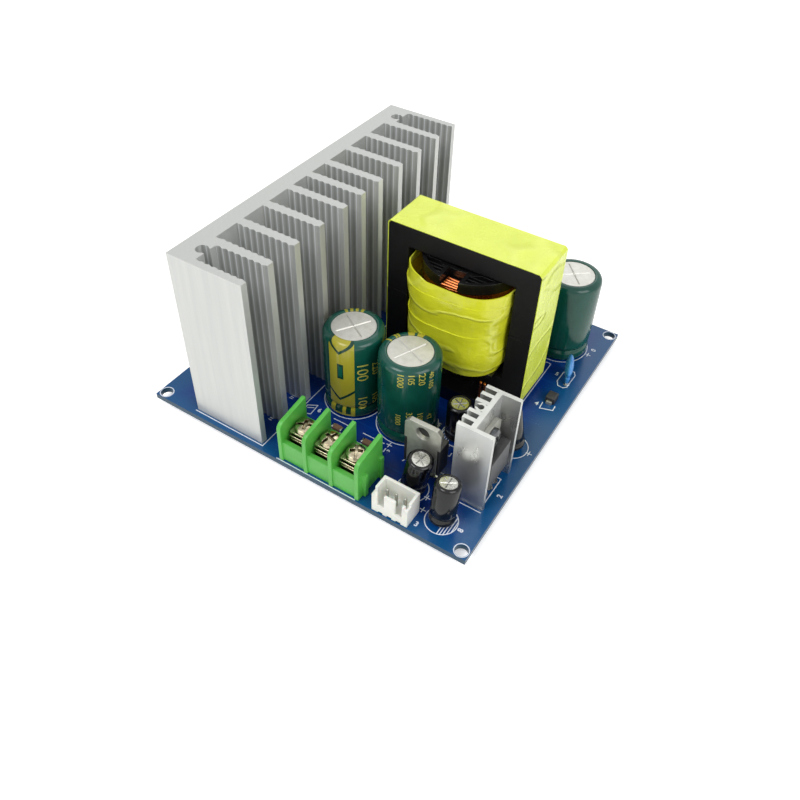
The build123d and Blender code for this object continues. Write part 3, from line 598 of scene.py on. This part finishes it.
def printedSleeve(name, look, centre, shapes):
    # a shape is (colour, middle angle, half angle, low and high in mm, slope if its edges have one)
    finish = makeFinish(name, look)
    tree = finish["tree"]
    moved = addNode(
        tree, "Mapping", {"Location": (-centre[0], -centre[1], -boardTop)},
        {"Vector": finish["place"]},
    )
    parts = addNode(tree, "SeparateXYZ", None, {0: moved})
    x, y, z = (parts.outputs[k] for k in range(3))
    angle = addNode(tree, "Math", {"operation": "ARCTAN2"}, {0: y, 1: x})
    for code, middle, half, low, high, *slope in shapes:
        middle, half = math.radians(middle), math.radians(half)
        around = addNode(tree, "Math", {"operation": "COMPARE", 1: middle, 2: half}, {0: angle})
        aside = addNode(tree, "Math", {"operation": "SUBTRACT", 1: middle}, {0: angle})
        away = addNode(tree, "Math", {"operation": "ABSOLUTE"}, {0: aside})
        drop = -sum(slope) * look["radius"] * mm
        sheared = addNode(tree, "Math", {"operation": "MULTIPLY_ADD", 1: drop}, {0: away, 2: z})
        up = addNode(
            tree, "Math",
            {"operation": "COMPARE", 1: (low + high) / 2 * mm, 2: (high - low) / 2 * mm},
            {0: sheared},
        )
        both = addNode(tree, "Math", {"operation": "MULTIPLY"}, {0: around, 1: up})
        paintOver(finish, both, look[code])


dressNodes({"circuit_board": ("boardBlank", "boardMask", 0.12)})  # node: piece, finish, edge in mm

printLook = {
    "line": 0.25, "height": 0.03, "step": 0.003, "textSize": 1.9, "bold": 0.06, "plus": 0.7,
    "rings": [  # centre, radius
        (-2.4, -18.5, 8.25), (14.4, -18.5, 8.25), (34.8, 33.7, 8.25),
        (27.2, -36.5, 4.04), (37.9, -40.8, 4.04), (27.55, -15.2, 4.04), (41.4, -10.5, 4.1),
    ],
    "holes": 1.82, "holeInset": 2.05,
    "hatched": [(27.2, -36.5, -1), (37.9, -40.8, 1), (27.55, -15.2, -1)],  # centre, marked side
    "hatchRadius": 4.04, "hatchFirst": 0.9, "hatchPitch": 0.68,
    "bars": [  # points along each line
        (36.6, 24.0, 36.6, -5.5), (-5.3, 24.0, -5.3, 18.0), (36.6, 24.0, 24.0, 24.0),
        (-34.7, -46.1, -12.0, -46.1, -12.0, 46.6), (-6.4, -47.25, 17.4, -47.25),
        (44.0, -31.7, 44.0, -21.9, 42.7, -21.9), (38.8, -33.8, 44.5, -33.8),
        (41.0, 18.6, 41.1, 22.7, 42.1, 24.7, 43.7, 24.5, 44.4, 23.3, 44.3, 17.6, 43.5, 16.8,
         41.9, 16.9, 41.0, 18.6),
        (41.4, 6.0, 44.8, 7.1, 44.7, 8.8), (41.4, 6.0, 41.2, 8.4),
        (-11.3, -28.1, -8.9, -26.7, -8.6, -30.3), (-11.3, -28.1, -11.2, -31.4, -8.6, -30.3),
        (-10.7, -28.8, -9.3, -28.0),
        (-2.4, -28.2, 4.0, -28.2), (-2.4, -31.6, 4.0, -31.6), (7.0, -28.2, 13.4, -28.2),
        (7.0, -31.6, 13.4, -31.6), (23.5, -19.2, 29.6, -19.2),
        (23.5, -22.6, 29.6, -22.6, 29.6, -21.4), (21.0, -28.4, 32.0, -28.4, 32.0, -32.6),
        (-17.0, -28.6, -16.2, -28.6), (-17.0, -28.0, -16.2, -28.0), (-17.0, -27.4, -16.2, -27.4),
        (-16.7, -37.9, -15.9, -37.9), (-16.7, -37.2, -15.9, -37.2), (-16.7, -36.5, -15.9, -36.5),
    ],
    "pluses": [(31.7, -37.0), (32.6, -40.6), (46.1, -10.5), (14.8, -27.9), (43.9, 33.7)],
    "labels": [  # text, place
        ("19", 15.2, -30.1), ("7", 20.6, -29.9), ("15", 21.4, -14.7), ("8", 43.1, -40.8),
        ("5", 39.8, 21.1), ("0", 44.6, 36.5), ("2", 46.2, -26.8), ("4", 40.0, 7.2),
        ("6", -7.4, -28.0), ("3", 33.5, -45.0),
    ],
}


def boardPrint(look):
    level = boardTop + look["height"] * mm / 2
    bits = []
    cornerX, cornerY = (abs(cadBox[0][k]) / mm - look["holeInset"] for k in (0, 1))
    holes = [(sideX * cornerX, sideY * cornerY, look["holes"])
             for sideX in (-1, 1) for sideY in (-1, 1)]
    for x, y, radius in look["rings"] + holes:
        clearSelection()
        bpy.ops.mesh.primitive_torus_add(
            location=(x * mm, y * mm, level), major_radius=radius * mm,
            minor_radius=look["line"] / 2 * mm, major_segments=72, minor_segments=6,
        )
        bpy.context.object.scale.z = look["height"] / look["line"]
        bits.append(bpy.context.object)
    lines = [bar[k:k + 4] for bar in look["bars"] for k in range(0, len(bar) - 2, 2)]
    arm = look["plus"]
    for x, y in look["pluses"]:
        lines += [(x - arm, y, x + arm, y), (x, y - arm, x, y + arm)]
    for x, y, side in look["hatched"]:
        for k in range(5):
            across = side * (look["hatchFirst"] + look["hatchPitch"] * k)
            half = math.sqrt(look["hatchRadius"] ** 2 - across ** 2)
            lines.append((x + across, y - half, x + across, y + half))
    for k, (x0, y0, x1, y1) in enumerate(lines):
        # strokes that cross lie at levels a little apart, so no two share a face
        place = ((x0 + x1) / 2 * mm, (y0 + y1) / 2 * mm, level + look["step"] * mm * (k % 4))
        size = (math.hypot(x1 - x0, y1 - y0) + look["line"], look["line"], look["height"])
        bits.append(addBlock(place, size, (0, 0, math.atan2(y1 - y0, x1 - x0))))
    stroke = {"extrude": look["height"] * mm * 0.4, "offset": look["bold"] * mm}
    for words, x, y in look["labels"]:
        text = addText(words, look["textSize"], **stroke)
        text.location = (x * mm, y * mm, level)
        text.rotation_euler.z = math.pi / 2 if x > 42 else 0  # those by the right edge are turned
        bits.append(text)
    settle(joinPieces(bits), "boardPrint", "legendInk")


boardPrint(printLook)
print("board and print done")

# Solder: a cone under the board and a small tinned pad on top at every lead
jointLook = {
    "cone": [(1.0, 0.0), (0.97, -0.12), (0.62, -0.42), (0.42, -0.75), (0.34, -0.94), (0.2, -1.0)],
    "padInset": 0.15, "padTop": 0.25, "padHeight": 0.05,
}


def solderJoints(look):
    joints, pads = [], []
    for low, high, centre in looseBoxes("solder_joints"):
        radius = (high.x - low.x) / 2 / mm
        depth = (high.z - low.z) / mm
        joint = turnProfile([(radius * r, depth * z) for r, z in look["cone"]], steps=18)
        joint.location = (centre.x, centre.y, high.z)
        joints.append(joint)
        foot = radius - look["padInset"]
        height, top = look["padHeight"], radius - look["padTop"]
        pad = turnProfile([(foot, 0.0), (foot, height * 0.6), (top, height)], steps=24)
        pad.location = (centre.x, centre.y, boardTop)
        pads.append(pad)
    settle(joinPieces(joints), "solderCones", "solderMetal", "solder_joints")
    settle(joinPieces(pads), "leadPads", "solderMetal")


solderJoints(jointLook)
print("solder done")

# Heatsinks and what is screwed to them
dressNodes({  # node: piece, finish, edge in mm, and for two of them the least edge angle
    "main_heatsink": ("finnedHeatsink", "millAluminium", 0.12, 60, 1),
    "regulator_heatsink": ("regulatorSink", "satinAluminium", 0.12, 50),
    "power_device_tabs": ("powerTabs", "tinPlate", 0.12),
    "power_device_bodies": ("powerBodies", "mouldedEpoxy", 0.3),
    "power_device_leads": ("powerLeads", "tinPlate", 0.06),
    "insulating_pads": ("padSheets", "siliconePad", 0.08),
    "heatsink_screws": ("channelScrews", "zincSteel", 0.12),
    "front_transistor_tab": ("frontTab", "tinPlate", 0.1),
    "front_transistor_body": ("frontBody", "mouldedEpoxy", 0.3),
    "front_transistor_leads": ("frontLeads", "tinPlate", 0.06),
    "regulator_tab": ("regulatorTab", "tinPlate", 0.1),
    "regulator_body": ("regulatorBody", "mouldedEpoxy", 0.3),
    "regulator_leads": ("regulatorLeads", "tinPlate", 0.06),
    "regulator_heatsink_pin": ("sinkPin", "tinPlate", 0.1),
})

screwLook = {
    "rise": [  # shares of the head's radius and height
        (0.94, 0.0), (1.0, 0.1), (1.0, 0.5), (0.93, 0.74), (0.72, 0.93), (0.42, 1.0), (0.2, 1.02),
    ],
    "slot": 0.75, "cross": 0.9, "reach": 0.62, "depth": 0.62, "edge": 0.07, "turns": [22, 71, 118],
}


def crossHeads(nodeName, pieceName, material, axis, side, slotted, look):
    # pan heads with a recess cut by two crossed bars; they face the given side of the axis
    heads = []
    for number, (low, high, centre) in enumerate(looseBoxes(nodeName)):
        span = high - low
        radius = min(span[(axis + 1) % 3], span[(axis + 2) % 3]) / 2 / mm
        height = span[axis] / mm
        head = turnProfile([(radius * r, height * z) for r, z in look["rise"]], steps=48)
        reach = 2 * radius * look["reach"]
        bars = [(2 * radius + 1 if slotted else reach, look["slot"]), (look["cross"], reach)]
        for along, across in bars:
            size = (along, across, 2 * height * look["depth"])
            cutAway(head, addBlock((0, 0, height * mm), size))
        applyModifier(
            head, "BEVEL", width=look["edge"] * mm, segments=2, limit_method="ANGLE",
            angle_limit=math.radians(50),
        )
        turn = turnBy(look["turns"][number % 3])
        if axis == 0:
            foot = (low.x if side > 0 else high.x, centre.y, centre.z)
            place = Matrix.Translation(foot) @ turnBy(side * 90, "Y")
        else:
            place = Matrix.Translation((centre.x, centre.y, low.z))
        head.matrix_world = place @ turn
        heads.append(head)
    settle(joinPieces(heads), pieceName, material, nodeName)


crossHeads("regulator_screw", "regulatorScrew", "zincSteel", 0, 1, False, screwLook)
crossHeads("power_device_screws", "powerScrews", "zincSteel", 0, -1, False, screwLook)
print("heatsinks done")

# Transformer
dressNodes({
    "transformer_core_lower": ("coreLower", "ferrite", 0.35),
    "transformer_core_upper": ("coreUpper", "ferrite", 0.35),
    "transformer_bobbin": ("bobbinMoulding", "phenolic", 0.3),
})

flangeLook = {
    "width": 0.45, "low": 38.55, "high": 39.95, "edge": 0.1,
    "ribs": [(3.4, 8.6, 8.7), (3.4, 7.2, 9.9), (3.4, 5.4, 11.1)],  # from, to, away from the post
}


def flangeRibs(look):
    # thin walls that stiffen the recess of the round flange, on both sides of the core
    low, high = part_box("transformer_core_upper")
    middle = (low + high) / 2
    level = (look["low"] + look["high"]) / 2 * mm
    ribs = []
    for start, end, away in look["ribs"]:
        size = (end - start, look["width"], look["high"] - look["low"])
        for sideX in (-1, 1):
            x = middle.x + sideX * (start + end) / 2 * mm
            ribs += [addBlock((x, middle.y + sideY * away * mm, level), size) for sideY in (-1, 1)]
    walls = joinPieces(ribs)
    applyModifier(walls, "BEVEL", width=look["edge"] * mm, segments=2)
    settle(walls, "flangeRibs", "phenolic")


flangeRibs(flangeLook)
dressNodes({
    "transformer_core_tape": ("coreTape", "coreFilm", 0.05),
    "transformer_winding": ("innerWinding", "enamelledCopper", 0.2),
})

# The winding's tape: one band all round and two laps laid askew over it
wrapLook = {
    "corner": 9.8, "wall": 0.35, "inset": 0.55, "rows": 12, "columns": 6, "flat": 12.0,
    "footDraw": 0.0765, "wave": 0.02, "waves": 9,
    "bands": [  # growth, low and high share of the height, tilt in degrees about x and y
        (0.0, 0.0, 1.0, 0.0, 0.0), (0.28, 0.42, 0.86, 1.6, 1.8), (0.5, 0.10, 0.52, -1.2, 2.2),
    ],
    "crease": 0.35, "creaseSize": 9.0,
    "fold": (4.0, 3.0), "foldReach": 5.0, "foldRise": 0.7,
}


def tapeBand(look, low, high, grow, shareLow, shareHigh, tiltX, tiltY):
    centre = (low + high) / 2
    height = high.z - low.z
    bottom, top = low.z + height * shareLow, low.z + height * shareHigh
    wider = 2 * (grow - look["inset"]) * mm
    size = Vector((high.x - low.x + wider, high.y - low.y + wider, top - bottom))
    middle = (centre.x, centre.y, (bottom + top) / 2)
    band = addBlock(middle, size / mm)
    bpy.ops.object.transform_apply(location=True, rotation=True, scale=True)
    pickIn(band, "FACE", lambda face: abs(face.normal.z) > 0.5)
    bpy.ops.mesh.delete(type="FACE")
    mesh = band.data

    def upright(edge):
        ends = [mesh.vertices[k].co for k in edge.vertices]
        return abs(ends[0].z - ends[1].z) > 0.5 * (top - bottom)

    pickIn(band, "EDGE", upright)
    bpy.ops.mesh.bevel(offset=(look["corner"] + grow) * mm, segments=12, affect="EDGES")
    rows = look["rows"]
    levels = [bottom + (top - bottom) * k / rows for k in range(rows + 1)]
    for level in levels[1:-1]:
        sliceAt((0, 0, level), (0, 0, 1))
    for k in range(1, look["columns"]):
        shift = (k / look["columns"] - 0.5) * look["flat"] * mm
        for normal in ((1, 0, 0), (0, 1, 0)):
            sliceAt((centre.x + shift, centre.y + shift, 0), normal)
    # the foot is drawn in, ring by ring
    for level in levels:
        share = (level - low.z) / height
        drawn = (1 - look["footDraw"] * (1 - share) ** 1.5
                 + look["wave"] * math.sin(share * look["waves"]))
        pickIn(band, "VERT", lambda vertex: abs(vertex.co.z - level) < 0.01 * mm)
        bpy.ops.transform.resize(
            value=(drawn, drawn, 1), center_override=(centre.x, centre.y, level)
        )
    bpy.ops.mesh.select_all(action="SELECT")
    bpy.ops.transform.rotate(value=math.radians(tiltX), orient_axis="X", center_override=middle)
    bpy.ops.transform.rotate(value=math.radians(tiltY), orient_axis="Y", center_override=middle)
    return band


def windingWrap(look):
    low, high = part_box("winding_tape")
    bands = [tapeBand(look, low, high, *band) for band in look["bands"]]
    wrap = joinPieces(bands)
    # one rim corner stands up where the tape was folded over
    rim = high.z - 0.2 * mm
    corner = Vector((low.x + look["fold"][0] * mm, low.y + look["fold"][1] * mm, high.z))
    reach = look["foldReach"] * mm
    pickIn(wrap, "VERT", lambda vertex: vertex.co.z > rim and (vertex.co - corner).length < reach)
    bpy.ops.transform.translate(value=(0, 0, look["foldRise"] * mm))
    applyModifier(wrap, "SUBSURF", levels=1, render_levels=1)
    crease = bpy.data.textures.new("tapeCrease", "CLOUDS")
    crease.noise_scale = look["creaseSize"] * mm
    crease.noise_depth = 2
    applyModifier(wrap, "DISPLACE", texture=crease, strength=look["crease"] * mm, mid_level=0.5)
    applyModifier(wrap, "SOLIDIFY", thickness=look["wall"] * mm, offset=-1)
    settle(wrap, "windingWrap", "wrapFilm", "winding_tape", smooth=50)


windingWrap(wrapLook)

wireLook = {"steps": 20, "fill": 0.98, "skew": (2.0, -1.5, 1.0, -2.5)}


def roundWire(look, radius, tip, length):
    return turnProfile([
        (tip, -length / 2), (radius, -length / 2 + 0.1), (radius, 0),
        (radius, length / 2 - 0.1), (tip, length / 2),
    ], look["steps"])


def topTurns(look):
    # the last turns lie side by side in the flange's notch
    low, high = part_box("winding_top_turns")
    centre = (low + high) / 2
    radius = (high.y - low.y) / len(look["skew"]) / 2 / mm
    length = (high.x - low.x) / mm
    wires = []
    for number, skew in enumerate(look["skew"]):
        wire = roundWire(look, radius * look["fill"], radius * 0.8, length)
        wire.rotation_euler = (0, math.pi / 2, math.radians(skew))
        wire.location = (centre.x, low.y + (2 * number + 1) * radius * mm, centre.z)
        wires.append(wire)
    settle(joinPieces(wires), "topTurns", "enamelledCopper", "winding_top_turns")


def leadOuts(look):
    wires = []
    for low, high, centre in looseBoxes("lead_out_wires"):
        radius = max(high.x - low.x, high.y - low.y) / 2 / mm
        wire = roundWire(look, radius, radius * 0.8, (high.z - low.z) / mm)
        wire.location = centre
        wires.append(wire)
    settle(joinPieces(wires), "leadOuts", "enamelledCopper", "lead_out_wires")


topTurns(wireLook)
leadOuts(wireLook)
print("transformer done")


largeLook = {
    "radius": 8.0, "height": 25.6, "opening": 5.85, "crimp": 3.6, "crimpDepth": 0.55,
    "vents": (58.0, 67.0, 40.0), "groove": 0.34,
    "print": [
        [
            ("gold", -81.0, 26.0, 0.6, 25.7), ("dark", -84.0, 29.0, 21.9, 22.9, 0.86),
            ("dark", -82.0, 6.2, 13.8, 18.8), ("green", -82.0, 3.8, 14.5, 18.1),
            ("dark", -84.0, 29.0, 6.0, 6.9, 0.86), ("dark", -88.0, 8.0, 1.4, 3.6),
            ("dark", -68.0, 5.0, 1.4, 3.6),
            *[("gold", angle, 3.5, 24.6, 25.7) for angle in (104.0, 117.0, 130.0, 143.0)],
            ("gold", 165.0, 12.0, 0.6, 24.4),
        ],
        [
            ("gold", 120.0, 7.5, 24.2, 25.7), ("gold", 98.0, 7.5, 24.2, 25.7),
            *[("gold", angle, 2.4, 24.5, 25.7) for angle in (150.0, 157.0, 176.0)],
            ("gold", 140.0, 24.0, 0.6, 23.0),
        ],
        [("gold", 100.0, 24.0, 0.6, 24.4)],
    ],
    "words": [  # sleeve, number, angle, height, letter height
        (1, "100", -41.0, 16.6, 4.2), (1, "100", -41.0, 5.6, 3.4), (1, "220", -14.0, 16.6, 3.0),
        (1, "105", -14.0, 6.0, 2.8), (2, "1000", -76.0, 22.5, 2.3), (2, "105", -57.0, 23.2, 2.3),
        (2, "220", -38.0, 22.9, 2.5), (2, "40 105", -19.0, 21.7, 2.0), (2, "1000", -78.0, 9.0, 2.0),
        (2, "35", -58.0, 11.0, 2.2), (2, "105", -38.0, 10.0, 2.2), (2, "47", -18.0, 9.0, 2.2),
    ],
    "ink": 0.03,
}


def sleeveWord(look, sleeve, centre, words, angle, height, size):
    # flat figures that read downwards, laid on the sleeve by projecting them at its axis
    text = addText(words, size)
    # cut into strips, so that the long strokes can follow the curve
    bpy.ops.object.mode_set(mode="EDIT")
    for k in range(-8, 9):
        sliceAt((0, k * size / 16 * mm, 0), (0, 1, 0))
    for k in range(-9, 0):  # the upper half crosses the sleeve's rounded shoulder
        sliceAt((k * 0.4 * mm, 0, 0), (1, 0, 0))
    bpy.ops.object.mode_set(mode="OBJECT")
    outward = Vector((math.cos(math.radians(angle)), math.sin(math.radians(angle)), 0))
    upward = Vector((0, 0, 1))
    turned = Matrix((upward.cross(outward), upward, outward)).transposed().to_4x4()
    foot = Vector((centre.x, centre.y, boardTop + height * mm))
    away = Matrix.Translation(foot + outward * (look["radius"] + 2) * mm)
    text.matrix_world = away @ turned @ turnBy(-90)
    applyModifier(
        text, "SHRINKWRAP", target=sleeve, wrap_method="PROJECT", use_project_z=True,
        use_negative_direction=True, use_positive_direction=False, offset=0.02 * mm,
    )
    applyModifier(text, "SOLIDIFY", thickness=look["ink"] * mm, offset=1)
    return text


def largeSleeves(look):
    radius, height, crimp = look["radius"], look["height"], look["crimp"]
    pinch = radius - look["crimpDepth"]
    profile = [
        (radius - 1.1, 0.0), (radius - 0.35, 0.25), (radius, 0.9), (radius, 1.6),
        (radius, crimp - 1.2), (radius - 0.08, crimp - 0.75), (pinch + 0.15, crimp - 0.3),
        (pinch, crimp), (pinch + 0.15, crimp + 0.3), (radius - 0.08, crimp + 0.75),
        (radius, crimp + 1.2), (radius, height * 0.5), (radius, height - 1.7),
        (radius - 0.12, height - 1.1), (radius - 0.45, height - 0.55), (radius - 1.0, height - 0.2),
        (radius - 1.6, height - 0.05), (look["opening"] + 0.15, height),
        (look["opening"], height - 0.08), (look["opening"], height - 1.2),
    ]
    for number, (low, high, centre) in enumerate(looseBoxes("large_capacitor_sleeves"), start=1):
        sleeve = turnProfile(profile, steps=96)
        sleeve.location = (centre.x, centre.y, low.z)
        shapes = look["print"][number - 1]
        finish = f"greenSleeve{number}"
        printedSleeve(finish, sleeveLook, centre, shapes)
        settle(sleeve, f"largeSleeve{number}", finish, "large_capacitor_sleeves", smooth=60)
        rows = [row[1:] for row in look["words"] if row[0] == number]
        figures = [sleeveWord(look, sleeve, centre, *row) for row in rows]
        if figures:
            settle(joinPieces(figures), f"sleeveFigures{number}", "goldInk")


def scoredCan(radius, height, angles, groove):
    # a can with its vent scored across the top in V-shaped grooves
    can = turnProfile([
        (radius, 0.0), (radius, height * 0.5), (radius, height - 0.12), (radius - 0.12, height),
    ], steps=48)
    for angle in angles:
        turn = (math.pi / 4, 0, math.radians(angle))
        cutAway(can, addBlock((0, 0, height * mm), (1.64 * radius, groove, groove), turn))
    return can


def largeCanEnds(look):
    cans = []
    for (low, high, centre), angle in zip(looseBoxes("large_capacitor_cans"), look["vents"]):
        radius, height = (high.x - low.x) / 2 / mm, (high.z - low.z) / mm
        can = scoredCan(radius, height, (angle, angle + 90), look["groove"])
        can.location = (centre.x, centre.y, low.z)
        cans.append(can)
    settle(joinPieces(cans), "largeCanEnds", "canEnd", "large_capacitor_cans", smooth=25)


largeSleeves(largeLook)
largeCanEnds(largeLook)
print("large capacitors done")


smallLook = {
    "radius": 3.25, "height": 11.6, "opening": 2.3, "crimp": 2.0, "stand": 0.4,
    "canHeight": 11.4, "vents": (20.0, 65.0, 40.0, 10.0), "groove": 0.26,
    "places": [  # foot centre, lean and heading in degrees
        (27.2, -36.5, 9.0, 0.0), (37.9, -40.8, 9.0, 90.0),
        (27.55, -15.2, 0.0, 0.0), (41.3, -10.55, 12.0, 180.0),
    ],
}


def smallCapacitors(look):
    radius, height, crimp, opening = (look[key] for key in ("radius", "height", "crimp", "opening"))
    for number, (x, y, lean, heading) in enumerate(look["places"], start=1):
        level = boardTop + (look["stand"] + radius * math.sin(math.radians(lean))) * mm
        place = Matrix.Translation((x * mm, y * mm, level)) @ turnBy(heading) @ turnBy(lean, "Y")
        sleeve = turnProfile([
            (radius - 0.5, 0.0), (radius - 0.12, 0.15), (radius, 0.5), (radius, crimp - 0.6),
            (radius - 0.25, crimp - 0.2), (radius - 0.25, crimp + 0.2), (radius, crimp + 0.6),
            (radius, height * 0.5), (radius, height - 0.9), (radius - 0.1, height - 0.5),
            (radius - 0.35, height - 0.18), (radius - 0.65, height - 0.02),
            (opening + 0.05, height), (opening, height - 0.05), (opening, height - 1.0),
        ], steps=64)
        sleeve.matrix_world = place
        node = f"small_capacitor_{number}_"
        settle(sleeve, f"smallSleeve{number}", "blackSleeve", node + "sleeve", smooth=60)
        vent = look["vents"][number - 1]
        can = scoredCan(opening, look["canHeight"], (vent, vent + 60, vent + 120), look["groove"])
        can.matrix_world = place
        settle(can, f"smallCan{number}", "brightCanEnd", node + "can", smooth=25)


smallCapacitors(smallLook)
dressNode("small_capacitor_leads", "smallLeads", "tinPlate", 0.05)
print("small capacitors done")

# Terminal block and header
dressNodes({
    "terminal_housing": ("terminalBody", "greenNylon", 0.22, 40, 3),
    "terminal_contacts": ("contactStrips", "nickelSteel", 0.12),
    "terminal_clamps": ("clampPlates", "nickelSteel", 0.15),
})
crossHeads("terminal_screws", "terminalScrews", "nickelSteel", 2, 1, True, screwLook)
dressNodes({
    "header_housing": ("headerBody", "whiteNylon", 0.14),
    "header_pins": ("headerPins", "tinPlate", 0.05),
})
print("terminals done")

discLook = {
    "radius": 3.5, "thickness": 2.4, "turn": 20.0, "coatFoot": 0.55,
    "coat": [(0.42, 0.0), (0.5, 0.3), (0.62, 1.0), (0.75, 1.9), (0.5, 2.3)],
}


def discBody(look):
    # a dipped disc: lens shaped, with the coating run a little way down both leads
    low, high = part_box("ceramic_capacitor_disc")
    centre = (low + high) / 2
    clearSelection()
    bpy.ops.mesh.primitive_uv_sphere_add(segments=40, ring_count=20, radius=look["radius"] * mm)
    body = bpy.context.object
    bpy.ops.object.mode_set(mode="EDIT")
    bpy.ops.mesh.select_all(action="SELECT")
    flat = look["thickness"] / 2 / look["radius"]
    bpy.ops.transform.resize(value=(flat, 1, 1), center_override=(0, 0, 0))
    body.matrix_world = Matrix.Translation(centre) @ turnBy(look["turn"])
    coats = [body]
    for *_, lead in looseBoxes("ceramic_capacitor_leads"):
        coat = turnProfile(look["coat"], steps=20)
        coat.location = (lead.x, lead.y, boardTop + look["coatFoot"] * mm)
        coats.append(coat)
    settle(joinPieces(coats), "discBody", "dippedEpoxy", "ceramic_capacitor_disc", smooth=60)


discBody(discLook)
dressNodes({
    "ceramic_capacitor_leads": ("discLeads", "tinPlate", 0.06),
    "diode_body": ("diodeBody", "mouldedEpoxy", 0.15),
    "diode_terminals": ("diodeEnds", "tinPlate", 0.08),
    "chip_bodies": ("chipBodies", "firedCeramic", 0.1),
    "chip_terminals": ("chipEnds", "solderMetal", 0.12),
})
print("small parts done")


stageLook = {"floor": "#f4f4f2", "rough": 0.8, "lift": 0.42, "ambient": 0.5}


def seenRays(tree):
    # 1 for what the camera sees, straight or in a reflection
    rays = addNode(tree, "LightPath")
    seen = addNode(
        tree, "Math", {"operation": "MAXIMUM"},
        {0: rays.outputs["Is Camera Ray"], 1: rays.outputs["Is Glossy Ray"]},
    )
    return rays, seen


def layFloor(look):
    clearSelection()
    bpy.ops.mesh.primitive_plane_add(size=6.0, location=(0, 0, floorLevel))
    floor = bpy.context.object
    floor.name = "paleFloor"
    material = bpy.data.materials.new("paleFloor")
    material.use_nodes = True
    tree = material.node_tree
    shader = tree.nodes["Principled BSDF"]
    shader.inputs["Base Color"].default_value = hexToLinear(look["floor"])
    shader.inputs["Roughness"].default_value = look["rough"]
    shader.inputs["Emission Color"].default_value = (1, 1, 1, 1)
    seen = seenRays(tree)[1]
    lift = addNode(tree, "Math", {"operation": "MULTIPLY", 1: look["lift"]}, {0: seen})
    tree.links.new(lift.outputs[0], shader.inputs["Emission Strength"])
    floor.data.materials.append(material)

    world = bpy.data.worlds.new("paleRoom")
    bpy.context.scene.world = world
    world.use_nodes = True
    air = world.node_tree
    background = air.nodes["Background"]
    background.inputs["Color"].default_value = (1, 1, 1, 1)
    rays, seen = seenRays(air)
    shown = addNode(
        air, "Math", {"operation": "MAXIMUM"}, {0: seen, 1: rays.outputs["Is Transmission Ray"]}
    )
    strength = addNode(
        air, "MapRange", {"To Min": look["ambient"], "To Max": 1.0}, {"Value": shown}
    )
    air.links.new(strength.outputs["Result"], background.inputs["Strength"])


lampLook = {
    "key": {"place": (-160, -400, 540), "size": 320, "watts": 1.95},
    "fill": {"place": (460, -120, 330), "size": 360, "watts": 1.3},
    "back": {"place": (-120, 420, 480), "size": 360, "watts": 0.5},
}


def hangLamps(looks):
    for name, look in looks.items():
        clearSelection()
        place = Vector(look["place"]) * mm
        bpy.ops.object.light_add(type="AREA", location=place)
        lamp = bpy.context.object
        lamp.name = name + "Lamp"
        lamp.data.energy = look["watts"]
        lamp.data.size = look["size"] * mm
        aim = Vector((0, 0, 15 * mm)) - place
        lamp.rotation_euler = aim.to_track_quat("-Z", "Y").to_euler()


cameraLook = {
    "place": (86.53, -142.92, 155.38), "turn": 31.088, "tilt": 47.173, "roll": 2.048,
    "lens": 35.67, "shiftY": -0.0435, "near": 5.0,
}


def setCamera(look):
    clearSelection()
    bpy.ops.object.camera_add()
    camera = bpy.context.object
    camera.name = "photoCamera"
    turn = turnBy(look["turn"]) @ turnBy(look["tilt"], "X") @ turnBy(look["roll"])
    camera.matrix_world = Matrix.Translation(Vector(look["place"]) * mm) @ turn
    camera.data.sensor_width = 36.0
    camera.data.lens = look["lens"]
    camera.data.shift_y = look["shiftY"]
    camera.data.clip_start = look["near"] * mm
    bpy.context.scene.camera = camera


layFloor(stageLook)
hangLamps(lampLook)
setCamera(cameraLook)
bpy.context.scene.view_settings.view_transform = "Standard"
print("stage ready")
